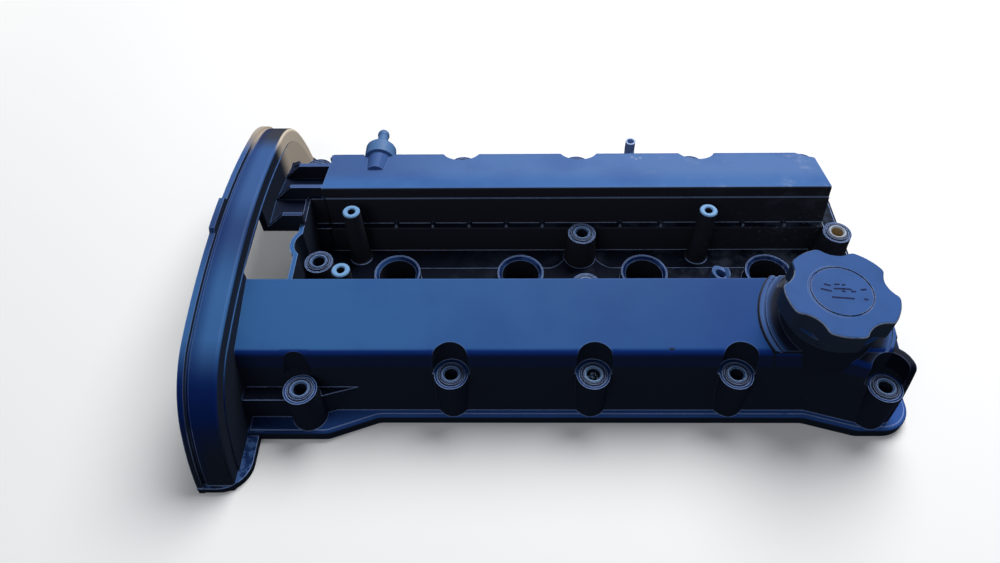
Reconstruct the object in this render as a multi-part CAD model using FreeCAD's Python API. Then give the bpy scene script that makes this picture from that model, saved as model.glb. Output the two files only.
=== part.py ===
import FreeCAD, Part
import math
import os

# Valve cover of a four-cylinder engine with two camshafts, in millimetres.
# X runs along the camshafts, from the timing end (-X) to the flywheel end (+X).
# Y runs across the engine and Z is up.
# The origin is on the sealing plane, midway between the two middle plug wells.
# "near" is the -Y side and "far" is the +Y side.

V = FreeCAD.Vector
Y_AXIS = V(0, 1, 0)
Z_AXIS = V(0, 0, 1)
ORIGIN = V(0, 0, 0)

# Engine layout
CYLINDER_PITCH = 86.0
WELL_COUNT = 4
SIDE_BOLT_Y = 92.0
NEAR_TIMING_BOLT = (-176.0, -102.3)
NEAR_REAR_BOLT = (172.0, -100.8)
FAR_TIMING_BOLT = (-195.6, 90.3)
FAR_REAR_BOLT = (170.0, 94.0)
VALLEY_BOLT_Y = 22.8
VALLEY_TIMING_BOLT = (-180.7, -2.7)
VALLEY_REAR_BOLT = (177.4, 23.0)

# Casting walls and the sealing flange
WALL = 3.5
FLANGE_THICKNESS = 8.0
FLANGE_MIDDLE_Y = 103.5
FLANGE_END_Y = 115.0
FLANGE_REAR_Y = 112.5
FLANGE_FAR_REAR_Y = 109.0
FLANGE_REAR_X = 199.5
FLANGE_STEP_START = 133.0
FLANGE_STEP_LENGTH = 31.0
FLANGE_CORNER_RADIUS = 19.0
FLANGE_BEND_RADIUS = 12.0
FLANGE_RIDGE_INSET = 2.4
FLANGE_RIDGE_HEIGHT = 0.4
FLANGE_EDGE_RADIUS = 2.0

# Camshaft banks
ROOF_INNER_Y = 39.3
ROOF_INNER_Z = 67.8
ROOF_ANGLE = 12.86
ROOF_LENGTH = 49.4
ROOF_EDGE_RADIUS = 5.0
NEAR_BANK_REAR_X = 184.0
FAR_BANK_TIMING_X = -180.0
FAR_BANK_REAR_X = 176.0
REAR_DRAFT = 6.0
FAR_BANK_CORNER = (160.0, 88.0, 171.5, 76.0)
EDGE_RADIUS = 1.2
REAR_FLARE_START_X = 133.0
REAR_FLARE_END_X = 164.0
REAR_FLARE_OUT = 9.5
REAR_LUG_WALL = 3.8
REAR_FLARE_INNER_Y = 82.0

# Valley between the banks
VALLEY_FLOOR_Z = 13.3
VALLEY_FLOOR_THICKNESS = 4.0
VALLEY_FOOT_Y = 30.5
VALLEY_LEDGE_Z = 34.8
VALLEY_LEDGE_WIDTH = 5.2
VALLEY_WALL_DRAFT = 2.0
VALLEY_RIM_Z = 58.5
VALLEY_RIM_WIDTH = 0.8
VALLEY_TIMING_X = -192.0
VALLEY_REAR_X = 167.0
VALLEY_LAND = 3.5
END_WALL_THICKNESS = 3.0
VALLEY_FLANGE_REACH = 11.0
TICK_XS = (-131.7, -105.6, -79.5, -53.0, -27.2, 28.1, 57.1, 86.2, 115.3, 144.4)
TICK_WIDTH = 1.3
TICK_HEIGHT = 1.4

# Plug wells
WELL_OUTER_RADIUS = 16.0
WELL_INNER_RADIUS = 12.8
WELL_TOP_Z = 24.4
WELL_CHAMFER = 2.2
WELL_WEB_HALF_WIDTH = 12.0
WELL_WEB_HEIGHT = 1.7
BOSS_WEB_INNER_X = 9.0
BOSS_WEB_OUTER_X = 26.0
BOSS_WEB_SAG = 4.0

# Bolt bosses, their rubber grommets and steel sleeves
BOSS_RADIUS = 10.2
VALLEY_BOSS_RADIUS = 9.6
BOSS_FOOT_RADIUS = 11.0
VALLEY_BOSS_FOOT_RADIUS = 12.4
BOSS_TOP_Z = 39.6
RECESS_RADIUS = 11.2
RECESS_FAR_RADIUS = 16.5
NEAR_TIMING_RECESS = (-178.9, -97.6)
NEAR_REAR_RECESS = (171.0, -98.5)
GROMMET_SEAT_DEPTH = 9.0
GROMMET_RADIUS = 8.3
GROMMET_CLEARANCE = 0.15
GROMMET_LIP_RADIUS = 7.4
GROMMET_LIP_HEIGHT = 0.6
SLEEVE_OUTER_RADIUS = 5.8
SLEEVE_INNER_RADIUS = 4.1
SLEEVE_PROUD = 1.2
SLEEVE_CHAMFER = 0.35
SLEEVE_MOUTH_CHAMFER = 0.9
SLEEVE_BOTTOM_Z = 6.0
SLEEVE_CLEARANCE = 0.3
VALLEY_BUMP_RADIUS = 15.2

# Posts for the coil cover; the near one on the right has broken off near its top
POST_LEFT_X = -158.6
POST_RIGHT_X = 84.4
POST_FAR_Y = 24.6
POST_NEAR_Y = -26.9
POST_RADIUS = 5.9
POST_FOOT_RADIUS = 7.0
POST_FILLET = 2.5
POST_TOP_Z = 60.8
POST_THREAD_RADIUS = 2.6
POST_THREAD_DEPTH = 20.0
POST_CHAMFER = 0.7
BREAK_HIGH_Z = 58.4
BREAK_LOW_Z = 55.2
BREAK_MOUTH_RADIUS = 3.8
BREAK_MOUTH_DEPTH = 4.0

# Hood over the timing drive
HOOD_FRONT_X = -237.0
HOOD_LENGTH = 22.0
HOOD_REAR_X = HOOD_FRONT_X + HOOD_LENGTH
HOOD_WALL = 4.0
HOOD_REAR_WALL = 3.5
HOOD_RIM_WIDTH = 3.6
HOOD_RIM_HEIGHT = 1.6
HOOD_GROOVE_WIDTH = 2.0
HOOD_GROOVE_DEPTH = 1.2
HOOD_EDGE_RADIUS = 2.2
HOOD_TOP_Y = -8.0
HOOD_TOP_Z = 84.2
HOOD_TOP_RADIUS = 400.0
HOOD_NEAR_SHOULDER_Y = -92.0
HOOD_FAR_SHOULDER_Y = 88.0
HOOD_SHOULDER_RADIUS = 60.0
HOOD_SHOULDER_END = 60.0
HOOD_SIDE_RADIUS = 155.0
HOOD_FOOT_HEIGHT = 5.0
HOOD_FOOT_REACH = 8.0
HOOD_FOOT_INNER_Y = 106.0
HOOD_FOOT_LIP = 1.2
HOOD_FOOT_RADIUS = 18.0
HOOD_TAB_Y = -3.0
HOOD_TAB_LENGTH = 30.0
HOOD_TAB_HEIGHT = 3.0
HOOD_STRIP_Z = 73.3
HOOD_STEP_INSET = 9.5
HOOD_STEP = 0.8
HOOD_WINDOW_FAR_Y = 14.0

# Ribbed bridge from the hood to the far bank
BRIDGE_DEPTH = 12.0
BRIDGE_FLOOR = 3.2
BRIDGE_RIB = 3.0
BRIDGE_RIB_YS = (15.5, 42.5, 71.0)
BRIDGE_RIB_SET_BACK = 13.0
BRIDGE_WALL_SET_BACK = 22.0
BRIDGE_WALL_DROP = 2.0

# Ledge beside the first near bolt
LEDGE_Z = 28.5
LEDGE_OUTER_Y = 103.4
LEDGE_INNER_Y = 88.0
LEDGE_END_X = -135.0

# Oil filler neck and its screw cap
FILLER_X = 139.4
FILLER_Y = -66.1
FILLER_PAD_RADIUS = 40.5
FILLER_PAD_HEIGHT = 1.3
FILLER_GROOVE_RADIUS = 37.2
FILLER_GROOVE_WIDTH = 1.6
NECK_RADIUS = 28.4
NECK_TOP_Z = 67.6
NECK_BORE_RADIUS = 18.0
NECK_BORE_BOTTOM_Z = 44.0
CAP_TOP_Z = 88.0
CAP_RADIUS = 32.6
CAP_RING_RADIUS = 29.6
CAP_RING_HEIGHT = 6.0
CAP_LOBES = 5
CAP_DIP_DEPTH = 5.2
CAP_DIP_RADIUS = 14.0
CAP_DIP_ANGLE = 10.0
CAP_EDGE_RADIUS = 1.3
CAP_CORNER_RADIUS = 4.5
CAP_DISC_RADIUS = 17.6
CAP_GROOVE_DEPTH = 0.7
CAP_GROOVE_WIDTH = 0.9
CAP_SPIGOT_LENGTH = 15.0
CAP_SPIGOT_WALL = 2.6
CAP_CROWN = 8.0
CAP_SEAL_WIDTH = 4.0
CAP_SEAL_HEIGHT = 2.4
RUNNING_GAP = 0.3

# Breather nipple in the far bank's outer wall
NIPPLE_X = -146.4
NIPPLE_Z = 53.2
NIPPLE_SEAT_Y = 83.6
NIPPLE_COLLAR_RADIUS = 11.2
NIPPLE_COLLAR_LENGTH = 11.0
NIPPLE_SHOULDER_LENGTH = 2.0
NIPPLE_SHOULDER_RADIUS = 5.0
NIPPLE_BALL_RADIUS = 4.4
NIPPLE_BALL_Y = 111.5
NIPPLE_NECK_RADIUS = 3.5
NIPPLE_SPIGOT_RADIUS = 5.0
NIPPLE_SPIGOT_LENGTH = 12.0
NIPPLE_BORE_RADIUS = 1.5
NIPPLE_CLEARANCE = 0.2
NIPPLE_BOSS_START_Y = 63.1
NIPPLE_BOSS_SMALL_RADIUS = 7.2
NIPPLE_BOSS_SMALL_Z = 58.1
NIPPLE_BOSS_LARGE_RADIUS = 9.1
NIPPLE_SPOT_RADIUS = 11.8
NIPPLE_RING_SECTION = 1.4

# Bent steel breather tube in the far wall
TUBE_X = 40.0
TUBE_Z = 40.0
TUBE_RADIUS = 3.7
TUBE_BORE_RADIUS = 2.6
TUBE_BEND_RADIUS = 10.0
TUBE_UPRIGHT_Y = 101.5
TUBE_TOP_Z = 55.0
TUBE_BOSS_RADIUS = 6.6
TUBE_BOSS_END_Y = 91.3
TUBE_INSERT = 9.0
TUBE_CLEARANCE = 0.1

# Perimeter gasket and plug well seals
GASKET_WIDTH = 3.2
GASKET_HEIGHT = 3.0
GASKET_EDGE = 4.1
GASKET_CLEARANCE = 0.2
WELL_SEAL_RADIUS = 15.0
WELL_SEAL_BORE = 11.0
WELL_SEAL_HEIGHT = 6.0
WELL_SEAL_POCKET_WALL = 18.0

# Oil baffles under the roofs, and their screws
BAFFLE_THICKNESS = 1.5
BAFFLE_Z = 43.0
BAFFLE_INNER_Y = 50.0
BAFFLE_OUTER_Y = 76.0
BAFFLE_START_X = -160.0
BAFFLE_LENGTH = 230.0
BAFFLE_CORNER = 4.0
BAFFLE_SCREWS = 4
BAFFLE_END_MARGIN = 14.0
BAFFLE_POST_RADIUS = 5.0
BAFFLE_LIP = 4.0
SCREW_SHANK_RADIUS = 2.0
SCREW_HEAD_RADIUS = 4.2
SCREW_HEAD_HEIGHT = 2.6
SCREW_LENGTH = 8.0
SCREW_CLEARANCE = 0.15

# How far a cutting body runs past the face that it opens
OVER = 1.0

# How near two places count as the same
EXACT = 0.01


def rounded_face(points, radii, place):
    """Closed outline with some rounded corners; place turns a pair into a vector."""
    corners = [place(*point) for point in points]
    count = len(corners)
    edges = []
    ends = []
    for index, corner in enumerate(corners):
        radius = radii.get(index, 0.0)
        if radius <= 0.0:
            ends.append((corner, corner, None))
            continue
        to_before = (corners[index - 1] - corner).normalize()
        to_after = (corners[(index + 1) % count] - corner).normalize()
        half = to_before.getAngle(to_after) / 2.0
        start = corner + to_before * (radius / math.tan(half))
        end = corner + to_after * (radius / math.tan(half))
        inward = (to_before + to_after).normalize()
        middle = corner + inward * (radius / math.sin(half) - radius)
        ends.append((start, end, middle))
    for index, (start, end, middle) in enumerate(ends):
        previous_end = ends[index - 1][1]
        edges.append(Part.makeLine(previous_end, start))
        if middle is not None:
            edges.append(Part.Arc(start, middle, end).toShape())
    return Part.Face(Part.Wire(edges))


def plan_prism(points, z0, z1, radii=None):
    """Upright prism from an outline in X and Y."""
    face = rounded_face(points, radii or {}, lambda x, y: V(x, y, z0))
    return face.extrude(V(0, 0, z1 - z0))


def section_prism(points, x0, x1, radii=None):
    """Prism along X from a section in Y and Z."""
    face = rounded_face(points, radii or {}, lambda y, z: V(x0, y, z))
    return face.extrude(V(x1 - x0, 0, 0))


def disc(x, y, z0, z1, radius):
    return Part.makeCylinder(radius, z1 - z0, V(x, y, z0), Z_AXIS)


def cone(x, y, z0, z1, radius0, radius1):
    return Part.makeCone(radius0, radius1, z1 - z0, V(x, y, z0), Z_AXIS)


def rod_y(x, z, y0, y1, radius):
    return Part.makeCylinder(radius, y1 - y0, V(x, y0, z), Y_AXIS)


def block(x0, x1, y0, y1, z0, z1):
    return Part.makeBox(x1 - x0, y1 - y0, z1 - z0, V(x0, y0, z0))


def mirror_y(shape):
    return shape.mirror(ORIGIN, Y_AXIS)


def export(name, shape):
    shape.exportStep("parts/%s.step" % name)


def roof_z(y):
    """Height of a roof's outer surface at a distance y from the middle plane."""
    return ROOF_INNER_Z - (abs(y) - ROOF_INNER_Y) * math.tan(math.radians(ROOF_ANGLE))


def well_xs():
    start = -(WELL_COUNT - 1) / 2.0 * CYLINDER_PITCH
    return [start + index * CYLINDER_PITCH for index in range(WELL_COUNT)]


def side_bolt_xs():
    return [index * CYLINDER_PITCH for index in (-1, 0, 1)]


def near_bolts():
    middle = [(x, -SIDE_BOLT_Y) for x in side_bolt_xs()]
    return [NEAR_TIMING_BOLT] + middle + [NEAR_REAR_BOLT]


def far_bolts():
    middle = [(x, SIDE_BOLT_Y) for x in side_bolt_xs()]
    return [FAR_TIMING_BOLT] + middle + [FAR_REAR_BOLT]


def valley_bolts():
    return [VALLEY_TIMING_BOLT, (0.0, -VALLEY_BOLT_Y), (0.0, VALLEY_BOLT_Y), VALLEY_REAR_BOLT]


def named_bolts():
    """Every bolt place with its name."""
    groups = (("near", near_bolts()), ("far", far_bolts()), ("valley", valley_bolts()))
    return [("%s_%d" % (side, number), x, y)
            for side, places in groups
            for number, (x, y) in enumerate(places, 1)]


def bank_profile(out=0.0):
    """Outer section of the far bank; out moves its outer wall away from the valley."""
    slope = math.radians(ROOF_ANGLE)
    edge_y = ROOF_INNER_Y + ROOF_LENGTH * math.cos(slope) + out
    edge_z = roof_z(edge_y)
    foot_y = edge_y + edge_z * math.tan(slope)
    step_y = VALLEY_FOOT_Y + VALLEY_WALL_DRAFT
    points = [
        (VALLEY_FOOT_Y, 0.0),
        (VALLEY_FOOT_Y, VALLEY_FLOOR_Z),
        (step_y, VALLEY_LEDGE_Z),
        (step_y + VALLEY_LEDGE_WIDTH, VALLEY_LEDGE_Z),
        (ROOF_INNER_Y - VALLEY_RIM_WIDTH, VALLEY_RIM_Z),
        (ROOF_INNER_Y, VALLEY_RIM_Z),
        (ROOF_INNER_Y, ROOF_INNER_Z),
        (edge_y, edge_z),
        (foot_y, 0.0),
    ]
    return points, {2: EDGE_RADIUS, 6: EDGE_RADIUS, 7: ROOF_EDGE_RADIUS}


def cavity_profile():
    """Hollow of the far bank: its outer section set in by one wall."""
    slope = math.radians(ROOF_ANGLE)
    outer, _ = bank_profile()
    step_y = outer[2][0] + WALL
    edge_y, edge_z = outer[7]
    foot_y = outer[8][0]
    roof_y = ROOF_INNER_Y + WALL
    across = WALL / math.cos(slope)
    corner = (edge_y - WALL * (math.cos(slope) + math.sin(slope)),
              edge_z - WALL * (math.cos(slope) - math.sin(slope)))
    points = [
        (VALLEY_FOOT_Y + WALL, -OVER),
        (VALLEY_FOOT_Y + WALL, VALLEY_FLOOR_Z),
        (step_y, VALLEY_LEDGE_Z - WALL),
        (outer[3][0] + WALL, VALLEY_LEDGE_Z - WALL),
        (roof_y, VALLEY_RIM_Z - WALL),
        (roof_y, roof_z(roof_y) - across),
        corner,
        (foot_y - across + OVER * math.tan(slope), -OVER),
    ]
    return points, {5: EDGE_RADIUS, 6: EDGE_RADIUS}


def rear_corner(inset):
    """What the chamfered rear corner of the far bank leaves out, moved in by inset."""
    x0, y0, x1, y1 = FAR_BANK_CORNER
    length = math.hypot(x1 - x0, y1 - y0)
    along_x = (x1 - x0) / length
    along_y = (y1 - y0) / length
    reach = ROOF_LENGTH
    start = (x0 - reach * along_x + inset * along_y, y0 - reach * along_y - inset * along_x)
    end = (x1 + reach * along_x + inset * along_y, y1 + reach * along_y - inset * along_x)
    return plan_prism([start, end, (end[0], start[1])], -2.0 * OVER, ROOF_INNER_Z + OVER)


def drafted_bank(points, radii, side, x0, x1, inset):
    """Prism of a bank's section whose rear end leans; side is -1 or 1."""
    solid = section_prism(points, x0, x1, radii)
    top = ROOF_INNER_Z + OVER
    lean = top * math.tan(math.radians(REAR_DRAFT))
    face = rounded_face([(x1, 0.0), (x1 + OVER, 0.0), (x1 + OVER, top), (x1 - lean, top)], {},
                        lambda x, z: V(x, 0, z))
    solid = solid.cut(face.extrude(V(0, 2.0 * SIDE_BOLT_Y, 0)))
    if side > 0:
        return solid.cut(rear_corner(inset))
    return mirror_y(solid)


def bank_solid(side, x0, x1):
    points, radii = bank_profile()
    return drafted_bank(points, radii, side, x0, x1, 0.0)


def bank_cavity(side, x0, x1):
    points, radii = cavity_profile()
    return drafted_bank(points, radii, side, x0, x1, WALL)


def flange_half_points():
    """Far half of the flange's outline, from the hood to the rear corner."""
    step_end = FLANGE_STEP_START + FLANGE_STEP_LENGTH
    return [
        (HOOD_REAR_X, FLANGE_END_Y),
        (-step_end, FLANGE_END_Y),
        (-FLANGE_STEP_START, FLANGE_MIDDLE_Y),
        (FLANGE_STEP_START, FLANGE_MIDDLE_Y),
    ]


def flange_outline():
    """Whole outline of the flange, with the radii of its corners."""
    near = [(x, -y) for x, y in flange_half_points()]
    far = flange_half_points()
    step_end = FLANGE_STEP_START + FLANGE_STEP_LENGTH
    valley_x = VALLEY_TIMING_X - VALLEY_FLANGE_REACH
    far_bank_x = FAR_BANK_TIMING_X - VALLEY_FLANGE_REACH
    side_y = VALLEY_FOOT_Y + WALL
    points = near + [
        (step_end, -FLANGE_REAR_Y),
        (FLANGE_REAR_X, -FLANGE_REAR_Y),
        (FLANGE_REAR_X, FLANGE_FAR_REAR_Y),
        (step_end, FLANGE_FAR_REAR_Y),
    ] + far[::-1] + [
        (HOOD_REAR_X, SIDE_BOLT_Y - WALL),
        (far_bank_x, SIDE_BOLT_Y - WALL),
        (far_bank_x, side_y),
        (valley_x, side_y),
        (valley_x, -side_y),
        (HOOD_REAR_X, -side_y),
    ]
    radii = {index: FLANGE_BEND_RADIUS for index in (1, 2, 3, 4, 7, 8, 9, 10)}
    radii[5] = FLANGE_CORNER_RADIUS
    radii[6] = FLANGE_CORNER_RADIUS
    return points, radii


def seal_outline():
    """Flange outline that the gasket follows; it leaves out the strip behind the far bank."""
    points, radii = flange_outline()
    far_x = FAR_BANK_TIMING_X - VALLEY_FLANGE_REACH
    strip = points.index((HOOD_REAR_X, FLANGE_END_Y))
    return points[:strip] + [(far_x, FLANGE_END_Y)] + points[strip + 3:], radii


def make_flange():
    """Sealing flange with the low ridge that runs round its edge."""
    points, radii = flange_outline()
    plate_z = FLANGE_THICKNESS - FLANGE_RIDGE_HEIGHT
    plate = plan_prism(points, 0.0, plate_z, radii)
    top_edges = [edge for edge in plate.Edges if edge.BoundBox.ZMin > plate_z - EXACT]
    plate = plate.makeFillet(FLANGE_EDGE_RADIUS, top_edges)
    face = rounded_face(points, radii, lambda x, y: V(x, y, 0))
    inner = face.makeOffset2D(-FLANGE_RIDGE_INSET)
    raised = inner.extrude(V(0, 0, FLANGE_THICKNESS))
    return plate.fuse(raised)


def hood_side(name):
    """Centres and turn of the arcs on one side of the hood."""
    sign = -1 if name == "near" else 1
    shoulder_y = HOOD_NEAR_SHOULDER_Y if name == "near" else HOOD_FAR_SHOULDER_Y
    lean = math.asin(sign * (shoulder_y - HOOD_TOP_Y) / HOOD_TOP_RADIUS)
    turn = math.radians(HOOD_SHOULDER_END)
    top = (HOOD_TOP_Y, HOOD_TOP_Z - HOOD_TOP_RADIUS)
    shoulder = along(top, HOOD_TOP_RADIUS - HOOD_SHOULDER_RADIUS, sign, lean)
    side = along(shoulder, HOOD_SHOULDER_RADIUS - HOOD_SIDE_RADIUS, sign, turn)
    return sign, lean, turn, top, shoulder, side


def along(centre, radius, sign, angle):
    """Point at an angle from straight up, towards one side."""
    return (centre[0] + sign * radius * math.sin(angle), centre[1] + radius * math.cos(angle))


def hood_half_points(name, inset, bottom_z):
    """Seven points on one side: three arcs from the crown to the foot."""
    sign, lean, turn, top, shoulder, side = hood_side(name)
    foot = math.acos((bottom_z - side[1]) / (HOOD_SIDE_RADIUS - inset))
    return [
        along(top, HOOD_TOP_RADIUS - inset, sign, 0.0),
        along(top, HOOD_TOP_RADIUS - inset, sign, lean / 2.0),
        along(top, HOOD_TOP_RADIUS - inset, sign, lean),
        along(shoulder, HOOD_SHOULDER_RADIUS - inset, sign, (lean + turn) / 2.0),
        along(shoulder, HOOD_SHOULDER_RADIUS - inset, sign, turn),
        along(side, HOOD_SIDE_RADIUS - inset, sign, (turn + foot) / 2.0),
        along(side, HOOD_SIDE_RADIUS - inset, sign, foot),
    ]


def hood_slab(inset, x0, x1, bottom_z=0.0):
    """Solid that fills the hood's outline, set in by inset, between two planes across X."""
    halves = [[V(x0, y, z) for y, z in hood_half_points(name, inset, bottom_z)]
              for name in ("near", "far")]
    edges = []
    for points in halves:
        edges += [Part.Arc(*points[start:start + 3]).toShape() for start in (0, 2, 4)]
    edges.append(Part.makeLine(halves[0][-1], halves[1][-1]))
    wire = Part.Wire(Part.__sortEdges__(edges))
    return Part.Face(wire).extrude(V(x1 - x0, 0, 0))


def make_hood():
    """Arched hood: band with its front rim, tab and rear wall with the window."""
    band = hood_slab(0.0, HOOD_FRONT_X, HOOD_REAR_X)
    rear_arcs = [edge for edge in band.Edges
                 if edge.Curve.TypeId == "Part::GeomCircle"
                 and edge.BoundBox.XMin > HOOD_REAR_X - OVER]
    band = band.makeFillet(HOOD_EDGE_RADIUS, rear_arcs)
    rim_x = HOOD_FRONT_X + HOOD_RIM_WIDTH
    rim = hood_slab(-HOOD_RIM_HEIGHT, HOOD_FRONT_X, rim_x)
    tab = hood_slab(-HOOD_RIM_HEIGHT - HOOD_TAB_HEIGHT, HOOD_FRONT_X, rim_x)
    tab_half = HOOD_TAB_LENGTH / 2.0
    tab_zone = plan_tab(tab_half)
    tab = tab.common(tab_zone)
    inside = hood_slab(HOOD_WALL, HOOD_FRONT_X - OVER, HOOD_REAR_X - HOOD_REAR_WALL, -OVER)
    groove = hood_slab(-OVER, rim_x, rim_x + HOOD_GROOVE_WIDTH).cut(
        hood_slab(HOOD_GROOVE_DEPTH, rim_x - OVER, rim_x + HOOD_GROOVE_WIDTH + OVER, -OVER))
    step = hood_slab(HOOD_STEP_INSET, HOOD_REAR_X - HOOD_REAR_WALL / 2.0, HOOD_REAR_X + HOOD_STEP)
    body = band.cut(groove).fuse([rim, tab, step]).cut(inside)
    wall_x0 = HOOD_REAR_X - HOOD_REAR_WALL - OVER
    wall_x1 = HOOD_REAR_X + HOOD_STEP + OVER
    upper = block(wall_x0, wall_x1, -ROOF_INNER_Y, HOOD_WINDOW_FAR_Y, -OVER, HOOD_STRIP_Z)
    far_y = SIDE_BOLT_Y - 2.0 * WALL
    lower = section_prism([
        (-ROOF_INNER_Y, -OVER),
        (-ROOF_INNER_Y, bridge_floor_z(0) - BRIDGE_FLOOR),
        (ROOF_INNER_Y, bridge_floor_z(0) - BRIDGE_FLOOR),
        (far_y, bridge_floor_z(far_y) - BRIDGE_FLOOR),
        (far_y, -OVER),
    ], wall_x0, wall_x1)
    return body.cut([upper, lower])


def plan_tab(half):
    """Zone of the rim's tab, with sloped ends."""
    low = HOOD_TOP_Z - HOOD_TAB_HEIGHT
    high = HOOD_TOP_Z + 2.0 * HOOD_TAB_HEIGHT
    points = [
        (HOOD_TAB_Y - half - HOOD_TAB_HEIGHT, low),
        (HOOD_TAB_Y - half + HOOD_TAB_HEIGHT, high),
        (HOOD_TAB_Y + half - HOOD_TAB_HEIGHT, high),
        (HOOD_TAB_Y + half + HOOD_TAB_HEIGHT, low),
    ]
    return section_prism(points, HOOD_FRONT_X - OVER, HOOD_REAR_X)


def make_hood_foot(name):
    """Foot plate of one side of the hood: a lip round its end, and a tongue to the flange."""
    back_x = HOOD_REAR_X + HOOD_FOOT_REACH
    wall_x = HOOD_REAR_X - HOOD_REAR_WALL / 2.0
    end_y = abs(hood_half_points(name, 0.0, 0.0)[-1][0])
    outer_y = end_y + HOOD_FOOT_LIP
    points = [
        (HOOD_FRONT_X, outer_y),
        (back_x, outer_y),
        (back_x, HOOD_FOOT_INNER_Y),
        (wall_x, HOOD_FOOT_INNER_Y),
        (wall_x, end_y - HOOD_WALL / 2.0),
        (HOOD_FRONT_X, end_y - HOOD_WALL / 2.0),
    ]
    foot = plan_prism(points, 0.0, HOOD_FOOT_HEIGHT, {1: HOOD_FOOT_RADIUS})
    return foot if name == "far" else mirror_y(foot)


def bridge_floor_z(y):
    """Top of the bridge's floor: level near the valley, then parallel to the roof."""
    return roof_z(max(y, ROOF_INNER_Y)) - BRIDGE_DEPTH


def make_bridge():
    """Floor and ribs between the hood and the far bank, and the outer wall beside them."""
    outer, _ = bank_profile()
    edge_y, edge_z = outer[7]
    foot_y = outer[8][0]
    x0 = HOOD_REAR_X - HOOD_REAR_WALL / 2.0
    bank_x = FAR_BANK_TIMING_X + WALL / 2.0
    valley_x = VALLEY_TIMING_X + END_WALL_THICKNESS
    near_y = BRIDGE_RIB_YS[0] - BRIDGE_RIB / 2.0
    level = bridge_floor_z(0)
    edge_level = bridge_floor_z(edge_y)
    near_floor = [
        (near_y, level),
        (ROOF_INNER_Y, level),
        (ROOF_INNER_Y, level - BRIDGE_FLOOR),
        (near_y, level - BRIDGE_FLOOR),
    ]
    far_floor = [
        (ROOF_INNER_Y, level),
        (edge_y, edge_level),
        (edge_y, edge_level - BRIDGE_FLOOR),
        (ROOF_INNER_Y, level - BRIDGE_FLOOR),
    ]
    solids = [section_prism(near_floor, x0, valley_x), section_prism(far_floor, x0, bank_x)]

    wall = section_prism([(edge_y, edge_z), (foot_y, 0.0), (foot_y - WALL, 0.0),
                          (edge_y - WALL, edge_z)], x0, bank_x)
    wall_top = edge_z - BRIDGE_WALL_DROP
    wall_x = HOOD_REAR_X + BRIDGE_WALL_SET_BACK
    above = rounded_face([(x0 - OVER, edge_level), (HOOD_REAR_X, edge_level), (wall_x, wall_top),
                          (bank_x + OVER, wall_top), (bank_x + OVER, edge_z + OVER),
                          (x0 - OVER, edge_z + OVER)], {},
                         lambda x, z: V(x, ROOF_INNER_Y, z))
    solids.append(wall.cut(above.extrude(V(0, foot_y, 0))))

    rib_x = HOOD_REAR_X + BRIDGE_RIB_SET_BACK
    for y in BRIDGE_RIB_YS:
        top = roof_z(max(y, ROOF_INNER_Y))
        low = bridge_floor_z(y) - BRIDGE_FLOOR / 2.0
        x1 = bank_x if y > ROOF_INNER_Y else valley_x
        face = rounded_face([(x0, low), (rib_x, top), (x1, top), (x1, low)], {},
                            lambda x, z, y=y: V(x, y - BRIDGE_RIB / 2.0, z))
        solids.append(face.extrude(V(0, BRIDGE_RIB, 0)))
    return solids


def make_valley():
    """Valley floor block, its timing end wall with the bump round the bolt, and the webs."""
    x0 = VALLEY_TIMING_X
    floor = block(x0, VALLEY_REAR_X, -VALLEY_FOOT_Y - WALL / 2.0, VALLEY_FOOT_Y + WALL / 2.0,
                  0.0, VALLEY_FLOOR_Z)
    wall = block(x0, x0 + END_WALL_THICKNESS, -ROOF_INNER_Y, ROOF_INNER_Y, 0.0, VALLEY_RIM_Z)
    bump_x, bump_y = VALLEY_TIMING_BOLT
    bump = disc(bump_x, bump_y, 0.0, VALLEY_RIM_Z, VALLEY_BUMP_RADIUS)
    bump = bump.common(block(x0 - VALLEY_BUMP_RADIUS, x0 + END_WALL_THICKNESS, -ROOF_INNER_Y,
                             ROOF_INNER_Y, 0.0, VALLEY_RIM_Z))
    bump_hollow = disc(bump_x, bump_y, VALLEY_FLOOR_Z, VALLEY_RIM_Z + OVER,
                       VALLEY_BUMP_RADIUS - END_WALL_THICKNESS)
    end_wall = wall.fuse(bump).cut(bump_hollow)
    first = well_xs()[0]
    last = well_xs()[-1]
    web = block(first, last, -WELL_WEB_HALF_WIDTH, WELL_WEB_HALF_WIDTH, 0.0,
                VALLEY_FLOOR_Z + WELL_WEB_HEIGHT)
    return [floor, end_wall, web]


def make_boss_web():
    """Low web that spreads from the middle valley boss to the two wells beside it."""
    wall_y = VALLEY_FOOT_Y
    web_y = WELL_WEB_HALF_WIDTH
    inner = BOSS_WEB_INNER_X
    outer = BOSS_WEB_OUTER_X
    mid_x = (inner + outer) / 2.0 - BOSS_WEB_SAG
    mid_y = (wall_y + web_y) / 2.0 - BOSS_WEB_SAG
    z = VALLEY_FLOOR_Z - OVER
    edges = [
        Part.makeLine(V(-inner, wall_y, z), V(inner, wall_y, z)),
        Part.Arc(V(inner, wall_y, z), V(mid_x, mid_y, z), V(outer, web_y - OVER, z)).toShape(),
        Part.makeLine(V(outer, web_y - OVER, z), V(-outer, web_y - OVER, z)),
        Part.Arc(V(-outer, web_y - OVER, z), V(-mid_x, mid_y, z), V(-inner, wall_y, z)).toShape(),
    ]
    face = Part.Face(Part.Wire(edges))
    return face.extrude(V(0, 0, WELL_WEB_HEIGHT + OVER))


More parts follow.
